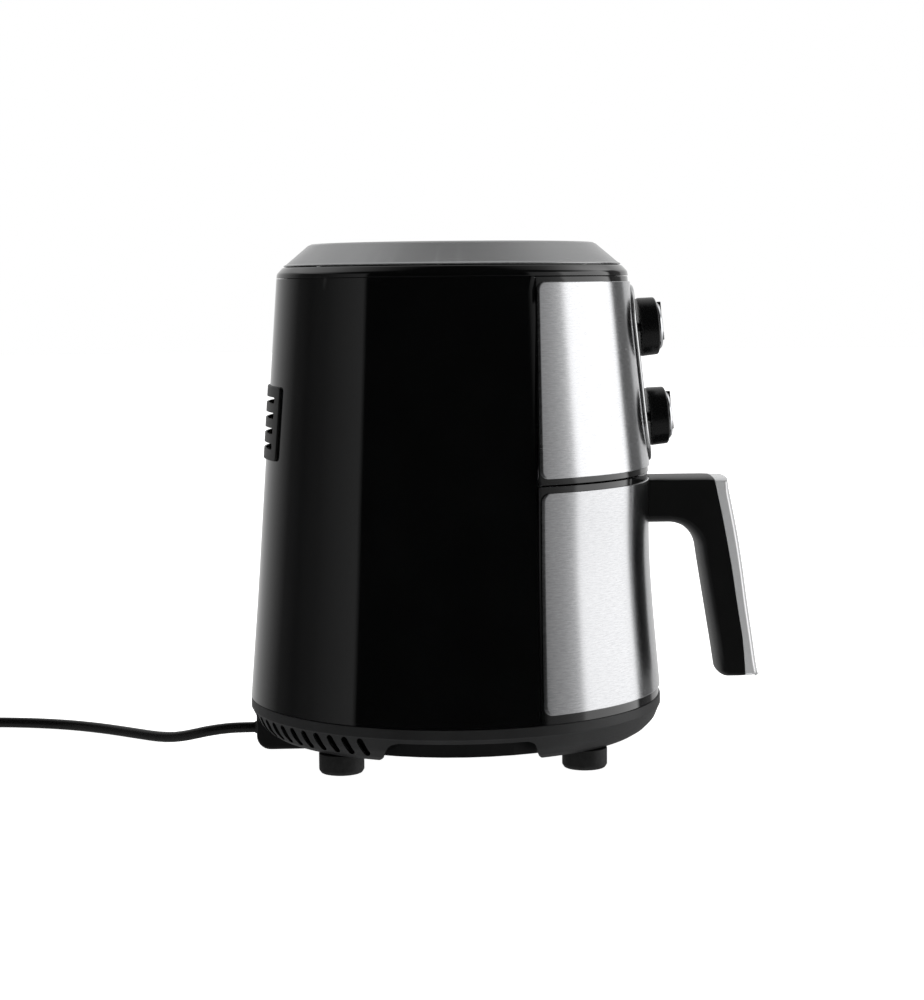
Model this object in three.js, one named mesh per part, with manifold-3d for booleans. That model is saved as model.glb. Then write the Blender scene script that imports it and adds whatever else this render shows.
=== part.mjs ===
// A round air fryer with a pull-out pan: millimetres, +Z up, front towards -Y.
// The origin is on the standing surface, under the middle of the appliance and its handle.
// Lengths below are laid out round the body's own axis, which stands BODY_AXIS_Y behind it.
import * as THREE from "three";
import { mergeVertices } from "three/addons/utils/BufferGeometryUtils.js";
import Module from "manifold-3d";

const wasm = await Module();
wasm.setup();

// ---------- Driving dimensions ----------
const GAP = 0.3; // space kept between neighbouring pieces
const BODY_SEGMENTS = 48; // facets round the body
const INNER_SEGMENTS = 36; // facets round the top, the pan and the dome
const SMALL_SEGMENTS = 18; // facets round feet and the motor
const KNOB_SEGMENTS = 24; // facets round the knobs and their caps
const BODY_AXIS_Y = 32.6; // puts the origin midway between handle and rear
const SPLIT_Y = -44; // plane between the rear shell and the front pieces

// Outer profile of the body, [radius, height], from the base seam to the shoulder
const SHELL_PROFILE = [
  [134.6, 37],
  [131.9, 70],
  [128.7, 109],
  [124.6, 165],
  [119, 240],
  [113.9, 308],
];
const SHELL_WALL = 2.5;

// Front surfaces of the two steel panels, [radius, height]
const CONTROL_PROFILE = [
  [128, 182],
  [127.7, 186],
  [115, 305],
  [114.7, 308],
];
const DRAWER_PROFILE = [
  [134.6, 37.3],
  [134.3, 42],
  [129.5, 97],
  [127.4, 135],
  [127.4, 180.9],
];
const FASCIA_SETBACK = 1.1; // black pieces sit this far behind the steel surface
const PANEL_THICKNESS = 0.8;
const FASCIA_WALL = 2.4;
const CONTROL_PANEL = { bottom: 185.8, top: 304.6, edgeY: -45.2, corner: 5 };
const DRAWER_PANEL = { bottom: 42.1, top: 177.1, edgeY: -46.2, corner: 5.5 };

// Top: collar, ring and cover
const TOP_Z = 330;
const COLLAR_PLATE_Z = 315.4;
const COVER_RADIUS = 88.2;

// Dials
const DIAL_TILT = (4.6 * Math.PI) / 180; // the knobs face slightly upward
const DIAL_HEIGHTS = { timer: 274.3, temperature: 215.8 };
const DIAL_PLATE_RADIUS = 28.5;
const DIAL_PLATE_PROUD = 2.1; // outward from the steel surface
const KNOB_BACK = 4.2; // knob depths run outward from the fascia surface
const KNOB_RIM = 16.2;
const CAP_TOP = 20.6;
const CAP_SEAT_RADIUS = 16; // recess in the knob that holds its cap
const SHAFT_SEAT = 13; // bottom of the knob's shaft hole
const KNOB_RADIUS = 19.1;
const SHAFT_RADIUS = 3;
const SHAFT_HOLE_RADIUS = 5;

// Handle: side outline in Y and Z
const HANDLE_HALF_WIDTH = 21;
const ARM_TOP_Z = 177.6;
const ARM_BOTTOM_Z = 146.9;
const GRIP_BOTTOM_Z = 44.2;
const ARM_CORNER = { y: -140.2, radius: 20 }; // the round inner corner under the arm

// Cavity, pan and crisper plate
const CAVITY_RADIUS = 108;
const CAVITY = { bottom: 37, top: 168, wall: 1.2, frontY: -43.7, mouthRadius: 84 };
const PAN = { radius: 99, bottom: 44, top: 140, rim: 102, wall: 1.5 };
const CRISPER = { radius: 92, bottom: 60, thickness: 1.5, footRing: 76 };

// Hot air side and motor
const DOME_TOP_Z = 206;
const ELEMENT = { outer: 70, inner: 54, z: 177, wire: 3.2, turns: 2, legTop: 212 };
const FAN_BLADES = 10;
const COOLING_BLADES = 9;
const BRACKET_Z = 234;
const MOTOR_TOP_Z = 272;
const MOTOR_RADIUS = 31;

// Rear vent, base and feet
const VENT = { halfWidth: 44, bottom: 193, top: 240, slots: 4, slotHeight: 4 };
const BASE_TOP_Z = 36.6;
const BASE_BOTTOM_Z = 13.5;
const ARCH_OUTLINE = [
  [-49, 12.5],
  [-46, 13.9],
  [-43.4, 17],
  [-42, 22],
  [-40, 25.8],
  [-36, 27.5],
  [42.5, 27.5],
  [47.5, 25.6],
  [50.2, 21.5],
  [51.2, 16.8],
  [53.4, 14],
  [56.5, 12.5],
]; // the hand hollow under each side, in Y and Z
const BASE_SLOTS = { count: 12, first: 29, last: 82, lean: 24, width: 3.2, low: -6.5, high: 6.5 };
const BASE_SLOT_SPOT = { radius: 131, z: 23.4, follow: 0.45 };
const BASE_PAN_RADIUS = 112;
const BASE_PAN_Z = 15;
const FOOT = { x: 76, y: 76.5, radius: 14.2, side: 12.7, neck: 10, top: 14.7 };
const CORD_BLOCK = { front: 98, rear: 131, bottom: 3.7, top: 27, halfWidth: 22 };

// Power cord
const CORD_RADIUS = 3.5;
const CORD_EXIT_Z = 14.5;
const RELIEF = { start: 106, end: 132.7 };
const CORD_ROUTE = [
  [0, 133, 14.5],
  [0, 140, 14.5],
  [1, 148, 14.1],
  [3.5, 157, 12.8],
  [7.5, 166.5, 10.6],
  [13, 176.5, 7.6],
  [20, 187, 5],
  [28.5, 198, 3.8],
  [38, 209.5, 3.6],
  [48, 221.5, 3.6],
  [58, 234, 3.6],
  [67, 247, 3.6],
  [75, 261, 3.6],
  [81.5, 276, 3.6],
  [86.5, 292, 3.6],
  [90, 309, 3.6],
  [91.8, 327, 3.6],
  [92, 340, 3.6],
  [92, 353.2, 3.6],
];
const COIL = { x: 133.5, y: 378, inner: 30.8, outer: 45.1, height: 13.4 };
const PLUG = { x: 95.5, y: 409, z: 9.6, relief: 20, body: 32, blade: 17 };

// ---------- Materials ----------
const finish = (color, roughness, metalness) =>
  new THREE.MeshStandardMaterial({ color, roughness, metalness });
const GLOSS_BLACK = finish(0x08080a, 0.08, 0);
const SATIN_BLACK = finish(0x1c1c1e, 0.45, 0);
const BASE_PLASTIC = finish(0x242527, 0.5, 0);
const SILVER_PLASTIC = finish(0xa9abae, 0.32, 0.7);
const STEEL = finish(0xc9cbcd, 0.28, 1);
const CHROME = finish(0xdfe1e4, 0.08, 1);
const ZINC_STEEL = finish(0x9a9c9f, 0.4, 1);
const ALUMINIUM = finish(0xb8babc, 0.45, 1);
const NONSTICK = finish(0x232426, 0.5, 0.2);
const ELEMENT_STEEL = finish(0x55524f, 0.5, 1);
const RUBBER = finish(0x111112, 0.8, 0);
const SILICONE = finish(0x1b1b1d, 0.7, 0);
const WHITE_PLASTIC = finish(0xd8d6cf, 0.5, 0);
const BRASS = finish(0xb08d4a, 0.3, 1);
const CORD_RUBBER = finish(0x0c0c0d, 0.35, 0);

// ---------- Geometry helpers ----------

// A closed three.js geometry as a solid
function solid(geometry) {
  const bare = new THREE.BufferGeometry();
  bare.setAttribute("position", geometry.getAttribute("position"));
  if (geometry.index) bare.setIndex(geometry.index);
  const merged = mergeVertices(bare, 1e-4);
  const corners = [];
  for (let i = 0; i < merged.index.count; i += 3) {
    const [a, b, c] = [0, 1, 2].map((k) => merged.index.getX(i + k));
    if (a !== b && b !== c && c !== a) corners.push(a, b, c);
  }
  const vertProperties = merged.getAttribute("position").array;
  const mesh = new wasm.Mesh({ numProp: 3, vertProperties, triVerts: new Uint32Array(corners) });
  return new wasm.Manifold(mesh);
}

// A solid of revolution about Z; the profile runs anticlockwise in radius and height
function lathe(profile, segments = BODY_SEGMENTS) {
  const points = profile.map(([radius, height]) => new THREE.Vector2(radius, height));
  const closed = profile[0][0] === 0 && profile.at(-1)[0] === 0;
  if (!closed) points.push(points[0].clone());
  return solid(new THREE.LatheGeometry(points, segments).rotateX(Math.PI / 2));
}

// A box from its low and high corners
function box([x0, y0, z0], [x1, y1, z1]) {
  const geometry = new THREE.BoxGeometry(x1 - x0, y1 - y0, z1 - z0);
  return solid(geometry.translate((x0 + x1) / 2, (y0 + y1) / 2, (z0 + z1) / 2));
}

// A disc or rod standing on Z
function rod(radius, z0, z1, segments = 16) {
  const geometry = new THREE.CylinderGeometry(radius, radius, z1 - z0, segments);
  return solid(geometry.rotateX(Math.PI / 2).translate(0, 0, (z0 + z1) / 2));
}

// A flat outline in X and Y, made solid from z0 to z1
function slab(shape, z0, z1, curveSegments = 8) {
  const options = { depth: z1 - z0, bevelEnabled: false, curveSegments };
  return solid(new THREE.ExtrudeGeometry(shape, options).translate(0, 0, z0));
}

// A side outline in Y and Z, made solid across X from -halfWidth to +halfWidth
function sideSlab(shape, halfWidth, curveSegments = 6) {
  const options = { depth: 2 * halfWidth, bevelEnabled: false, curveSegments };
  const yAxis = new THREE.Vector3(0, 1, 0);
  const zAxis = new THREE.Vector3(0, 0, 1);
  const xAxis = new THREE.Vector3(1, 0, 0);
  const turn = new THREE.Matrix4().makeBasis(yAxis, zAxis, xAxis);
  const geometry = new THREE.ExtrudeGeometry(shape, options).translate(0, 0, -halfWidth);
  return solid(geometry.applyMatrix4(turn));
}

// A round tube of eight sides along a smooth curve
function tube(points, radius, steps) {
  const section = new THREE.Shape().absarc(0, 0, radius, 0, 2 * Math.PI);
  const path = new THREE.CatmullRomCurve3(points.map((p) => new THREE.Vector3(...p)));
  const options = { extrudePath: path, steps, curveSegments: 4 };
  return solid(new THREE.ExtrudeGeometry(section, options));
}

// A rectangle with rounded corners, low corner (x0, y0) and high corner (x1, y1)
function roundedRectangle(x0, y0, x1, y1, radius) {
  const shape = new THREE.Shape();
  shape.moveTo(x0 + radius, y0);
  shape.lineTo(x1 - radius, y0);
  shape.absarc(x1 - radius, y0 + radius, radius, -Math.PI / 2, 0);
  shape.lineTo(x1, y1 - radius);
  shape.absarc(x1 - radius, y1 - radius, radius, 0, Math.PI / 2);
  shape.lineTo(x0 + radius, y1);
  shape.absarc(x0 + radius, y1 - radius, radius, Math.PI / 2, Math.PI);
  shape.lineTo(x0, y0 + radius);
  shape.absarc(x0 + radius, y0 + radius, radius, Math.PI, 1.5 * Math.PI);
  return shape;
}

// An upright stadium outline round two centres on the Y axis
function stadium(radius, y0, y1) {
  const shape = new THREE.Shape();
  shape.absarc(0, y1, radius, 0, Math.PI);
  shape.absarc(0, y0, radius, Math.PI, 2 * Math.PI);
  shape.closePath();
  return shape;
}

// A body profile moved in or out by the same radius all the way
const offset = (profile, distance) => profile.map(([radius, z]) => [radius + distance, z]);

// Everything inside an outer profile, as one solid of revolution
function filled(profile) {
  const bottom = profile[0][1];
  const top = profile.at(-1)[1];
  return lathe([[0, bottom], ...profile, [0, top]]);
}

// A wall of even thickness that follows a body profile
function wall(profile, outside, inside) {
  const inner = offset(profile, inside).reverse();
  return lathe([...offset(profile, outside), ...inner]);
}

// A flat ring inside the front, from an inner radius out to the wall
const flange = (inner, outer, z0, z1) =>
  lathe([
    [inner, z0],
    [outer, z0],
    [outer, z1],
    [inner, z1],
  ]);

const FAR = 400; // beyond every piece
const frontHalf = (edgeY) => box([-FAR, -FAR, -FAR], [FAR, edgeY, FAR]);
const rearHalf = (edgeY) => box([-FAR, edgeY, -FAR], [FAR, FAR, FAR]);

const group = new THREE.Group();
const appliance = new THREE.Group();
appliance.position.y = BODY_AXIS_Y;
group.add(appliance);

// Adds one named piece to the appliance
function add(name, made, material) {
  const { vertProperties, triVerts } = made.getMesh();
  const geometry = new THREE.BufferGeometry();
  geometry.setAttribute("position", new THREE.Float32BufferAttribute(vertProperties, 3));
  geometry.setIndex(new THREE.Uint32BufferAttribute(triVerts, 1));
  geometry.computeVertexNormals();
  const mesh = new THREE.Mesh(geometry, material);
  mesh.name = name;
  appliance.add(mesh);
}

// Joins a list of solids into one
const joined = (solids) => solids.reduce((sum, next) => sum.add(next));

// ---------- Top ----------
const collar = lathe([
  [111.2, 308.3],
  [113.8, 308.3],
  [113.4, 310.4],
  [109.2, COLLAR_PLATE_Z],
  [84, COLLAR_PLATE_Z],
  [84, 313],
  [107.6, 313],
]);
add("shoulder_collar", collar, GLOSS_BLACK);

const ring = lathe([
  [105.4, COLLAR_PLATE_Z + GAP],
  [108.5, COLLAR_PLATE_Z + GAP],
  [92.8, 329.2],
  [91.4, TOP_Z],
  [88.5, TOP_Z],
  [88.5, 328],
]);
add("top_ring", ring, SILVER_PLASTIC);

const cover = lathe(
  [
    [0, 327.2],
    [86, 327],
    [86, COLLAR_PLATE_Z + GAP],
    [COVER_RADIUS, COLLAR_PLATE_Z + GAP],
    [COVER_RADIUS, 328.8],
    [85, 329.4],
    [0, 329.6],
  ],
  INNER_SEGMENTS,
);
add("top_cover", cover, GLOSS_BLACK);

// ---------- Rear shell and vent ----------
const ventBox = (margin) =>
  box(
    [-VENT.halfWidth + margin, 60, VENT.bottom + margin],
    [VENT.halfWidth - margin, 140, VENT.top - margin],
  );
const shell = wall(SHELL_PROFILE, 0, -SHELL_WALL)
  .intersect(rearHalf(SPLIT_Y))
  .subtract(ventBox(3));
add("outer_shell", shell, GLOSS_BLACK);

const [[ventLowRadius, ventLowZ], [ventHighRadius, ventHighZ]] = SHELL_PROFILE.slice(3, 5);
const ventTaper = (ventLowRadius - ventHighRadius) / (ventHighZ - ventLowZ);
const ventProfile = [
  [ventHighRadius + ventTaper * (ventHighZ - VENT.bottom), VENT.bottom],
  [ventHighRadius, ventHighZ],
];
let grille = wall(ventProfile, 1.3, GAP)
  .intersect(ventBox(0))
  .add(wall(ventProfile, GAP + 0.1, -SHELL_WALL).intersect(ventBox(3.3)));
const slotPitch = (VENT.top - VENT.bottom - 8) / VENT.slots;
for (let i = 0; i < VENT.slots; i += 1) {
  const centre = VENT.bottom + 4 + (i + 0.5) * slotPitch;
  const half = VENT.slotHeight / 2;
  grille = grille.subtract(box([-36, 60, centre - half], [36, 140, centre + half]));
}
add("rear_vent_grille", grille, SATIN_BLACK);

// ---------- Control fascia, steel panel and dial plate ----------

// Places a solid made round a dial's own axis: +Z outward, +Y up
function onPanel(made, height) {
  const [[lowRadius, lowZ], [highRadius, highZ]] = CONTROL_PROFILE.slice(1, 3);
  const share = (highZ - height) / (highZ - lowZ);
  const radius = highRadius + share * (lowRadius - highRadius) - FASCIA_SETBACK;
  const place = new THREE.Matrix4().makeRotationX(Math.PI / 2 - DIAL_TILT);
  place.setPosition(0, -radius, height);
  return made.transform(place.toArray());
}
const dialHeights = Object.values(DIAL_HEIGHTS);
const shaftHoles = joined(
  dialHeights.map((height) => onPanel(rod(SHAFT_HOLE_RADIUS, -12, 12), height)),
);

const fascia = wall(CONTROL_PROFILE, -FASCIA_SETBACK, -FASCIA_SETBACK - FASCIA_WALL)
  .add(flange(110, 125, 182, 184.4))
  .intersect(frontHalf(SPLIT_Y - GAP))
  .subtract(shaftHoles);
add("control_fascia", fascia, GLOSS_BLACK);

// A thin panel wrapped round the front, cut to a rounded side outline
function wrappedPanel(profile, { bottom, top, edgeY, corner }) {
  const outline = roundedRectangle(-FAR, bottom, edgeY, top, corner);
  return wall(profile, 0, -PANEL_THICKNESS).intersect(sideSlab(outline, FAR));
}
const controlPanel = wrappedPanel(CONTROL_PROFILE, CONTROL_PANEL).subtract(shaftHoles);
add("control_steel_panel", controlPanel, STEEL);

const plateOutline = stadium(DIAL_PLATE_RADIUS, DIAL_HEIGHTS.temperature, DIAL_HEIGHTS.timer);
const plateBlank = slab(plateOutline, 0, FAR, 12).rotate([90, 0, 0]);
const dialPlate = wall(CONTROL_PROFILE, DIAL_PLATE_PROUD, GAP)
  .intersect(plateBlank)
  .subtract(shaftHoles);
add("dial_plate", dialPlate, SILVER_PLASTIC);

// ---------- Knobs, shafts and the units behind them ----------
const knobShape = lathe(
  [
    [0, SHAFT_SEAT],
    [SHAFT_RADIUS + GAP, SHAFT_SEAT],
    [SHAFT_RADIUS + GAP, KNOB_BACK],
    [KNOB_RADIUS - 0.6, KNOB_BACK],
    [KNOB_RADIUS, KNOB_BACK + 0.8],
    [KNOB_RADIUS - 0.5, KNOB_RIM - 1.7],
    [KNOB_RADIUS - 1.9, KNOB_RIM],
    [CAP_SEAT_RADIUS, KNOB_RIM],
    [CAP_SEAT_RADIUS, KNOB_RIM - 1],
    [0, KNOB_RIM - 1],
  ],
  KNOB_SEGMENTS,
);
const capProfile = [
  [0, KNOB_RIM - 0.7],
  [CAP_SEAT_RADIUS - GAP, KNOB_RIM - 0.7],
  [CAP_SEAT_RADIUS - GAP, KNOB_RIM + 1.4],
  [14.2, CAP_TOP - 2.2],
  [8, CAP_TOP - 0.7],
  [0, CAP_TOP],
];
const capShape = lathe(capProfile, KNOB_SEGMENTS);
const pointerShape = box([-1.4, 5.5, KNOB_RIM], [1.4, 15, CAP_TOP + 0.6]).subtract(
  lathe(
    capProfile.map(([radius, z]) => [radius && radius + GAP, z + GAP]),
    KNOB_SEGMENTS,
  ),
);
const shaftShape = rod(SHAFT_RADIUS, -27, SHAFT_SEAT - 0.4);
const shaftBore = rod(SHAFT_RADIUS + 0.5, -60, 0);

for (const [use, height] of Object.entries(DIAL_HEIGHTS)) {
  add(`${use}_knob`, onPanel(knobShape, height), GLOSS_BLACK);
  add(`${use}_knob_cap`, onPanel(capShape, height), CHROME);
  add(`${use}_knob_pointer`, onPanel(pointerShape, height), SATIN_BLACK);
  add(`${use}_shaft`, onPanel(shaftShape, height), ZINC_STEEL);
}

const timerCase = box([-21, -20, -30], [21, 20, -5.8]).subtract(shaftBore);
add("timer_unit", onPanel(timerCase, DIAL_HEIGHTS.timer), WHITE_PLASTIC);
const bellShape = lathe(
  [
    [0, -44],
    [10, -43.2],
    [16, -38],
    [16, -31],
    [14.8, -31],
    [14.8, -37.5],
    [9.5, -42],
    [0, -42.8],
  ],
  SMALL_SEGMENTS,
);
add("timer_bell", onPanel(bellShape, DIAL_HEIGHTS.timer), BRASS);
const thermostatCase = box([-18, -15, -24], [18, 15, -5.2])
  .add(rod(11, -30, -20, SMALL_SEGMENTS))
  .subtract(shaftBore);
add("thermostat_unit", onPanel(thermostatCase, DIAL_HEIGHTS.temperature), WHITE_PLASTIC);

// ---------- Drawer front, panel and handle ----------
const SCREW_X = [-10, 10];
const SCREW_Z = 162;

// A rod pointing to the front, centred on one handle screw
const screwRod = (radius, y0, y1, x) =>
  rod(radius, y0, y1).rotate([90, 0, 0]).translate([x, 0, SCREW_Z]);
const screwHoles = joined(SCREW_X.map((x) => screwRod(2.5, 110, 146, x)));

const drawerFront = wall(DRAWER_PROFILE, -FASCIA_SETBACK, -FASCIA_SETBACK - FASCIA_WALL)
  .add(flange(104, 125, 178.5, 180.9))
  .add(flange(104, 132, 37.3, 39.6))
  .intersect(frontHalf(SPLIT_Y - GAP))
  .subtract(screwHoles);
add("drawer_front", drawerFront, GLOSS_BLACK);

const drawerPanel = wrappedPanel(DRAWER_PROFILE, DRAWER_PANEL).subtract(screwHoles);
add("drawer_steel_panel", drawerPanel, STEEL);

// Side outlines of the handle and its trim strip share this outer curve
const TRIM_INNER = [
  [-168, ARM_TOP_Z],
  [-173.4, 153],
  [-179.4, 121],
  [-183.6, 93.5],
  [-187.4, 69],
  [-189.3, GRIP_BOTTOM_Z],
];
const TRIM_OUTER = [
  [-199, GRIP_BOTTOM_Z + 0.2],
  [-199.8, 46.7],
  [-195.8, 74],
  [-189.3, 120],
  [-186.1, 140],
  [-182.6, 158],
  [-179.4, 173],
  [-178.6, 176.6],
  [-176, ARM_TOP_Z],
];
const handleShape = new THREE.Shape();
handleShape.moveTo(-110, ARM_TOP_Z);
for (const [y, z] of TRIM_INNER) handleShape.lineTo(y, z);
handleShape.lineTo(-181, GRIP_BOTTOM_Z);
handleShape.absarc(-180.5, GRIP_BOTTOM_Z + 7, 7, -Math.PI / 2, -Math.PI, true);
handleShape.lineTo(-172.6, 52.5);
const armCorner = [ARM_CORNER.y, ARM_BOTTOM_Z - ARM_CORNER.radius];
handleShape.absarc(...armCorner, ARM_CORNER.radius, Math.PI, Math.PI / 2, true);
handleShape.lineTo(-110, ARM_BOTTOM_Z);
const handle = sideSlab(handleShape, HANDLE_HALF_WIDTH)
  .subtract(filled(offset(DRAWER_PROFILE, GAP)))
  .subtract(screwHoles);
add("handle", handle, SATIN_BLACK);

const trimShape = new THREE.Shape();
trimShape.moveTo(TRIM_INNER[0][0] - GAP - 0.2, ARM_TOP_Z);
for (const [y, z] of TRIM_INNER.slice(1)) trimShape.lineTo(y - GAP - 0.1, z);
for (const [y, z] of TRIM_OUTER) trimShape.lineTo(y, z);
add("handle_trim", sideSlab(trimShape, HANDLE_HALF_WIDTH), SILVER_PLASTIC);

SCREW_X.forEach((x, i) => {
  const screw = screwRod(4.4, 117.6, 120.4, x).add(screwRod(2, 119, 142, x));
  add(`handle_screw_${i + 1}`, screw, ZINC_STEEL);
});

// ---------- Pan and crisper plate ----------
const pan = lathe(
  [
    [0, PAN.bottom],
    [90, PAN.bottom],
    [97, PAN.bottom + 8],
    [PAN.radius, PAN.top - 2],
    [PAN.rim, PAN.top - 2],
    [PAN.rim, PAN.top],
    [PAN.radius - PAN.wall, PAN.top],
    [97 - PAN.wall, PAN.bottom + 8.6],
    [89.3, PAN.bottom + PAN.wall],
    [0, PAN.bottom + PAN.wall],
  ],
  INNER_SEGMENTS,
);
add("pan", pan, NONSTICK);

const drawerInside = filled(offset(DRAWER_PROFILE, -FASCIA_SETBACK - FASCIA_WALL - GAP));
const panBracket = box([-32, -FAR, 100], [32, 0, 134])
  .intersect(drawerInside)
  .subtract(rod(PAN.radius + 0.5, 90, 140, INNER_SEGMENTS));
add("pan_bracket", panBracket, SATIN_BLACK);

const switchTab = box([94, -69, 171.5], [102, -48, 176.5]);
add("drawer_switch_tab", switchTab, SATIN_BLACK);

// A disc with rings of curved slots
function slottedDisc(radius, z0, z1, rings) {
  let disc = rod(radius, z0, z1, INNER_SEGMENTS);
  for (const { inner, outer, count, land } of rings) {
    const halfAngle = Math.PI / count - land / inner / 2;
    const shape = new THREE.Shape().absarc(0, 0, outer, -halfAngle, halfAngle);
    shape.absarc(0, 0, inner, halfAngle, -halfAngle, true);
    shape.closePath();
    const slot = slab(shape, z0 - 1, z1 + 1, 2);
    for (let i = 0; i < count; i += 1) {
      disc = disc.subtract(slot.rotate([0, 0, (i * 360) / count]));
    }
  }
  return disc;
}
const crisperTop = CRISPER.bottom + CRISPER.thickness;
const crisperDisc = slottedDisc(CRISPER.radius, CRISPER.bottom, crisperTop, [
  { inner: 26, outer: 34, count: 6, land: 8 },
  { inner: 48, outer: 56, count: 8, land: 10 },
]);
const loopShape = roundedRectangle(-17, crisperTop - 0.5, 17, crisperTop + 22, 7);
loopShape.holes.push(roundedRectangle(-13, crisperTop + 1, 13, crisperTop + 18, 5));
const lift = sideSlab(loopShape, 1.5, 4);
add("crisper_plate", crisperDisc.add(lift), NONSTICK);

for (let i = 0; i < 4; i += 1) {
  const angle = ((i + 0.5) * Math.PI) / 2;
  const foot = lathe(
    [
      [0, PAN.bottom + PAN.wall + 0.4],
      [4, PAN.bottom + PAN.wall + 0.4],
      [5, CRISPER.bottom - GAP],
      [0, CRISPER.bottom - GAP],
    ],
    12,
  ).translate([CRISPER.footRing * Math.cos(angle), CRISPER.footRing * Math.sin(angle), 0]);
  add(`crisper_bumper_${i + 1}`, foot, SILICONE);
}

// ---------- Cavity liner, rails, dome, element and guard ----------
function cavityOutline(radius, frontY) {
  const shape = new THREE.Shape();
  shape.moveTo(-radius, frontY);
  shape.lineTo(radius, frontY);
  shape.lineTo(radius, 0);
  shape.absarc(0, 0, radius, 0, Math.PI);
  shape.closePath();
  return shape;
}
const cavityInside = cavityOutline(CAVITY_RADIUS - CAVITY.wall, -80);
const liner = slab(cavityOutline(CAVITY_RADIUS, CAVITY.frontY), CAVITY.bottom, CAVITY.top, 24)
  .subtract(slab(cavityInside, CAVITY.bottom + CAVITY.wall, CAVITY.top - CAVITY.wall, 24))
  .subtract(rod(CAVITY.mouthRadius, 160, 175, 36));
add("cavity_liner", liner, ALUMINIUM);

for (const [side, sign] of [
  ["left", -1],
  ["right", 1],
]) {
  const rail = box([103.1, -42, PAN.top - 8], [106.4, 0, PAN.top - 2.6]).add(
    box([99.8, -42, PAN.top - 4.2], [104, 0, PAN.top - 2.6]),
  );
  add(`pan_rail_${side}`, sign > 0 ? rail : rail.mirror([1, 0, 0]), ZINC_STEEL);
}

const elementLegs = [ELEMENT.outer, ELEMENT.inner].map((radius) =>
  rod(ELEMENT.wire + 1.2, 198, 210).translate([-radius, 0, 0]),
);
const dome = lathe(
  [
    [80.5, CAVITY.top + GAP],
    [90, CAVITY.top + GAP],
    [90, CAVITY.top + GAP + 1.2],
    [81.7, CAVITY.top + GAP + 1.2],
    [81.7, 200],
    [77, DOME_TOP_Z],
    [7, DOME_TOP_Z],
    [7, DOME_TOP_Z - 1.2],
    [76.5, DOME_TOP_Z - 1.2],
    [80.5, 199.6],
  ],
  INNER_SEGMENTS,
).subtract(joined(elementLegs));
add("heat_dome", dome, ALUMINIUM);

const TURN_POINTS = 16;
const elementPoints = [
  [-ELEMENT.outer, 0, ELEMENT.legTop],
  [-ELEMENT.outer, 0, ELEMENT.z + 16],
];
for (let i = 1; i < ELEMENT.turns * TURN_POINTS; i += 1) {
  const part = i / (ELEMENT.turns * TURN_POINTS);
  const angle = Math.PI + part * ELEMENT.turns * 2 * Math.PI;
  const radius = ELEMENT.outer + part * (ELEMENT.inner - ELEMENT.outer);
  elementPoints.push([radius * Math.cos(angle), radius * Math.sin(angle), ELEMENT.z]);
}
elementPoints.push([-ELEMENT.inner, 0, ELEMENT.z + 16], [-ELEMENT.inner, 0, ELEMENT.legTop]);
add("heating_element", tube(elementPoints, ELEMENT.wire, 50), ELEMENT_STEEL);

const guard = slottedDisc(79.8, CAVITY.top + 0.4, CAVITY.top + 1.6, [
  { inner: 26, outer: 48, count: 4, land: 6 },
  { inner: 52, outer: 74, count: 6, land: 6 },
]);
add("element_guard", guard, STEEL);

// ---------- Fans, motor and bracket ----------
// A hub, a disc and upright blades
function bladedRotor({ hub, disc, discZ, bladeZ, blades, z0, z1 }) {
  const pieces = [rod(hub, z0, z1), rod(disc, discZ, discZ + 1.2, 32)];
  const blade = box([hub - 1, -0.7, bladeZ], [disc - 1.5, 0.7, discZ + 0.6]);
  for (let i = 0; i < blades; i += 1) {
    pieces.push(blade.rotate([0, 0, (i * 360) / blades]));
  }
  return joined(pieces).subtract(rod(SHAFT_RADIUS + GAP, 0, FAR));
}
const convectionFan = bladedRotor({
  hub: 9,
  disc: 47,
  discZ: 200,
  bladeZ: 187,
  blades: FAN_BLADES,
  z0: 185,
  z1: 202,
});
add("convection_fan", convectionFan, ALUMINIUM);
const coolingFan = bladedRotor({
  hub: 8,
  disc: 44,
  discZ: 224.6,
  bladeZ: 214,
  blades: COOLING_BLADES,
  z0: 212,
  z1: 229,
});
add("cooling_fan", coolingFan, SATIN_BLACK);
add("motor_shaft", rod(SHAFT_RADIUS, 183.5, 262), ZINC_STEEL);

const bracket = box([-105.5, -16, BRACKET_Z], [105.5, 16, BRACKET_Z + 1.6])
  .add(box([-105.5, -16, CAVITY.top + GAP], [-103.9, 16, BRACKET_Z + 1]))
  .add(box([103.9, -16, CAVITY.top + GAP], [105.5, 16, BRACKET_Z + 1]))
  .subtract(rod(8, 220, 240));
add("motor_bracket", bracket, ZINC_STEEL);

const motor = lathe(
  [
    [0, 266],
    [SHAFT_RADIUS + 0.6, 266],
    [SHAFT_RADIUS + 0.6, BRACKET_Z + 2],
    [15, BRACKET_Z + 2],
    [15, BRACKET_Z + 5],
    [MOTOR_RADIUS, BRACKET_Z + 5],
    [MOTOR_RADIUS, MOTOR_TOP_Z - 4],
    [MOTOR_RADIUS - 4, MOTOR_TOP_Z],
    [0, MOTOR_TOP_Z],
  ],
  SMALL_SEGMENTS,
);
add("motor", motor, ZINC_STEEL);

const fuse = rod(3.5, -9, 9, 12).rotate([0, 90, 0]).translate([62, -24, DOME_TOP_Z + 4]);
add("thermal_fuse", fuse, WHITE_PLASTIC);

const DUCT = { halfWidth: 43, front: 54, bottom: 207.4, top: 240, wall: 1.6 };
const duct = box([-DUCT.halfWidth, DUCT.front, DUCT.bottom], [DUCT.halfWidth, 130, DUCT.top])
  .subtract(
    box(
      [-DUCT.halfWidth + DUCT.wall, 0, DUCT.bottom + DUCT.wall],
      [DUCT.halfWidth - DUCT.wall, 140, DUCT.top - DUCT.wall],
    ),
  )
  .intersect(rod(115.6, 200, 250, BODY_SEGMENTS));
add("air_duct", duct, SATIN_BLACK);

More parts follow.
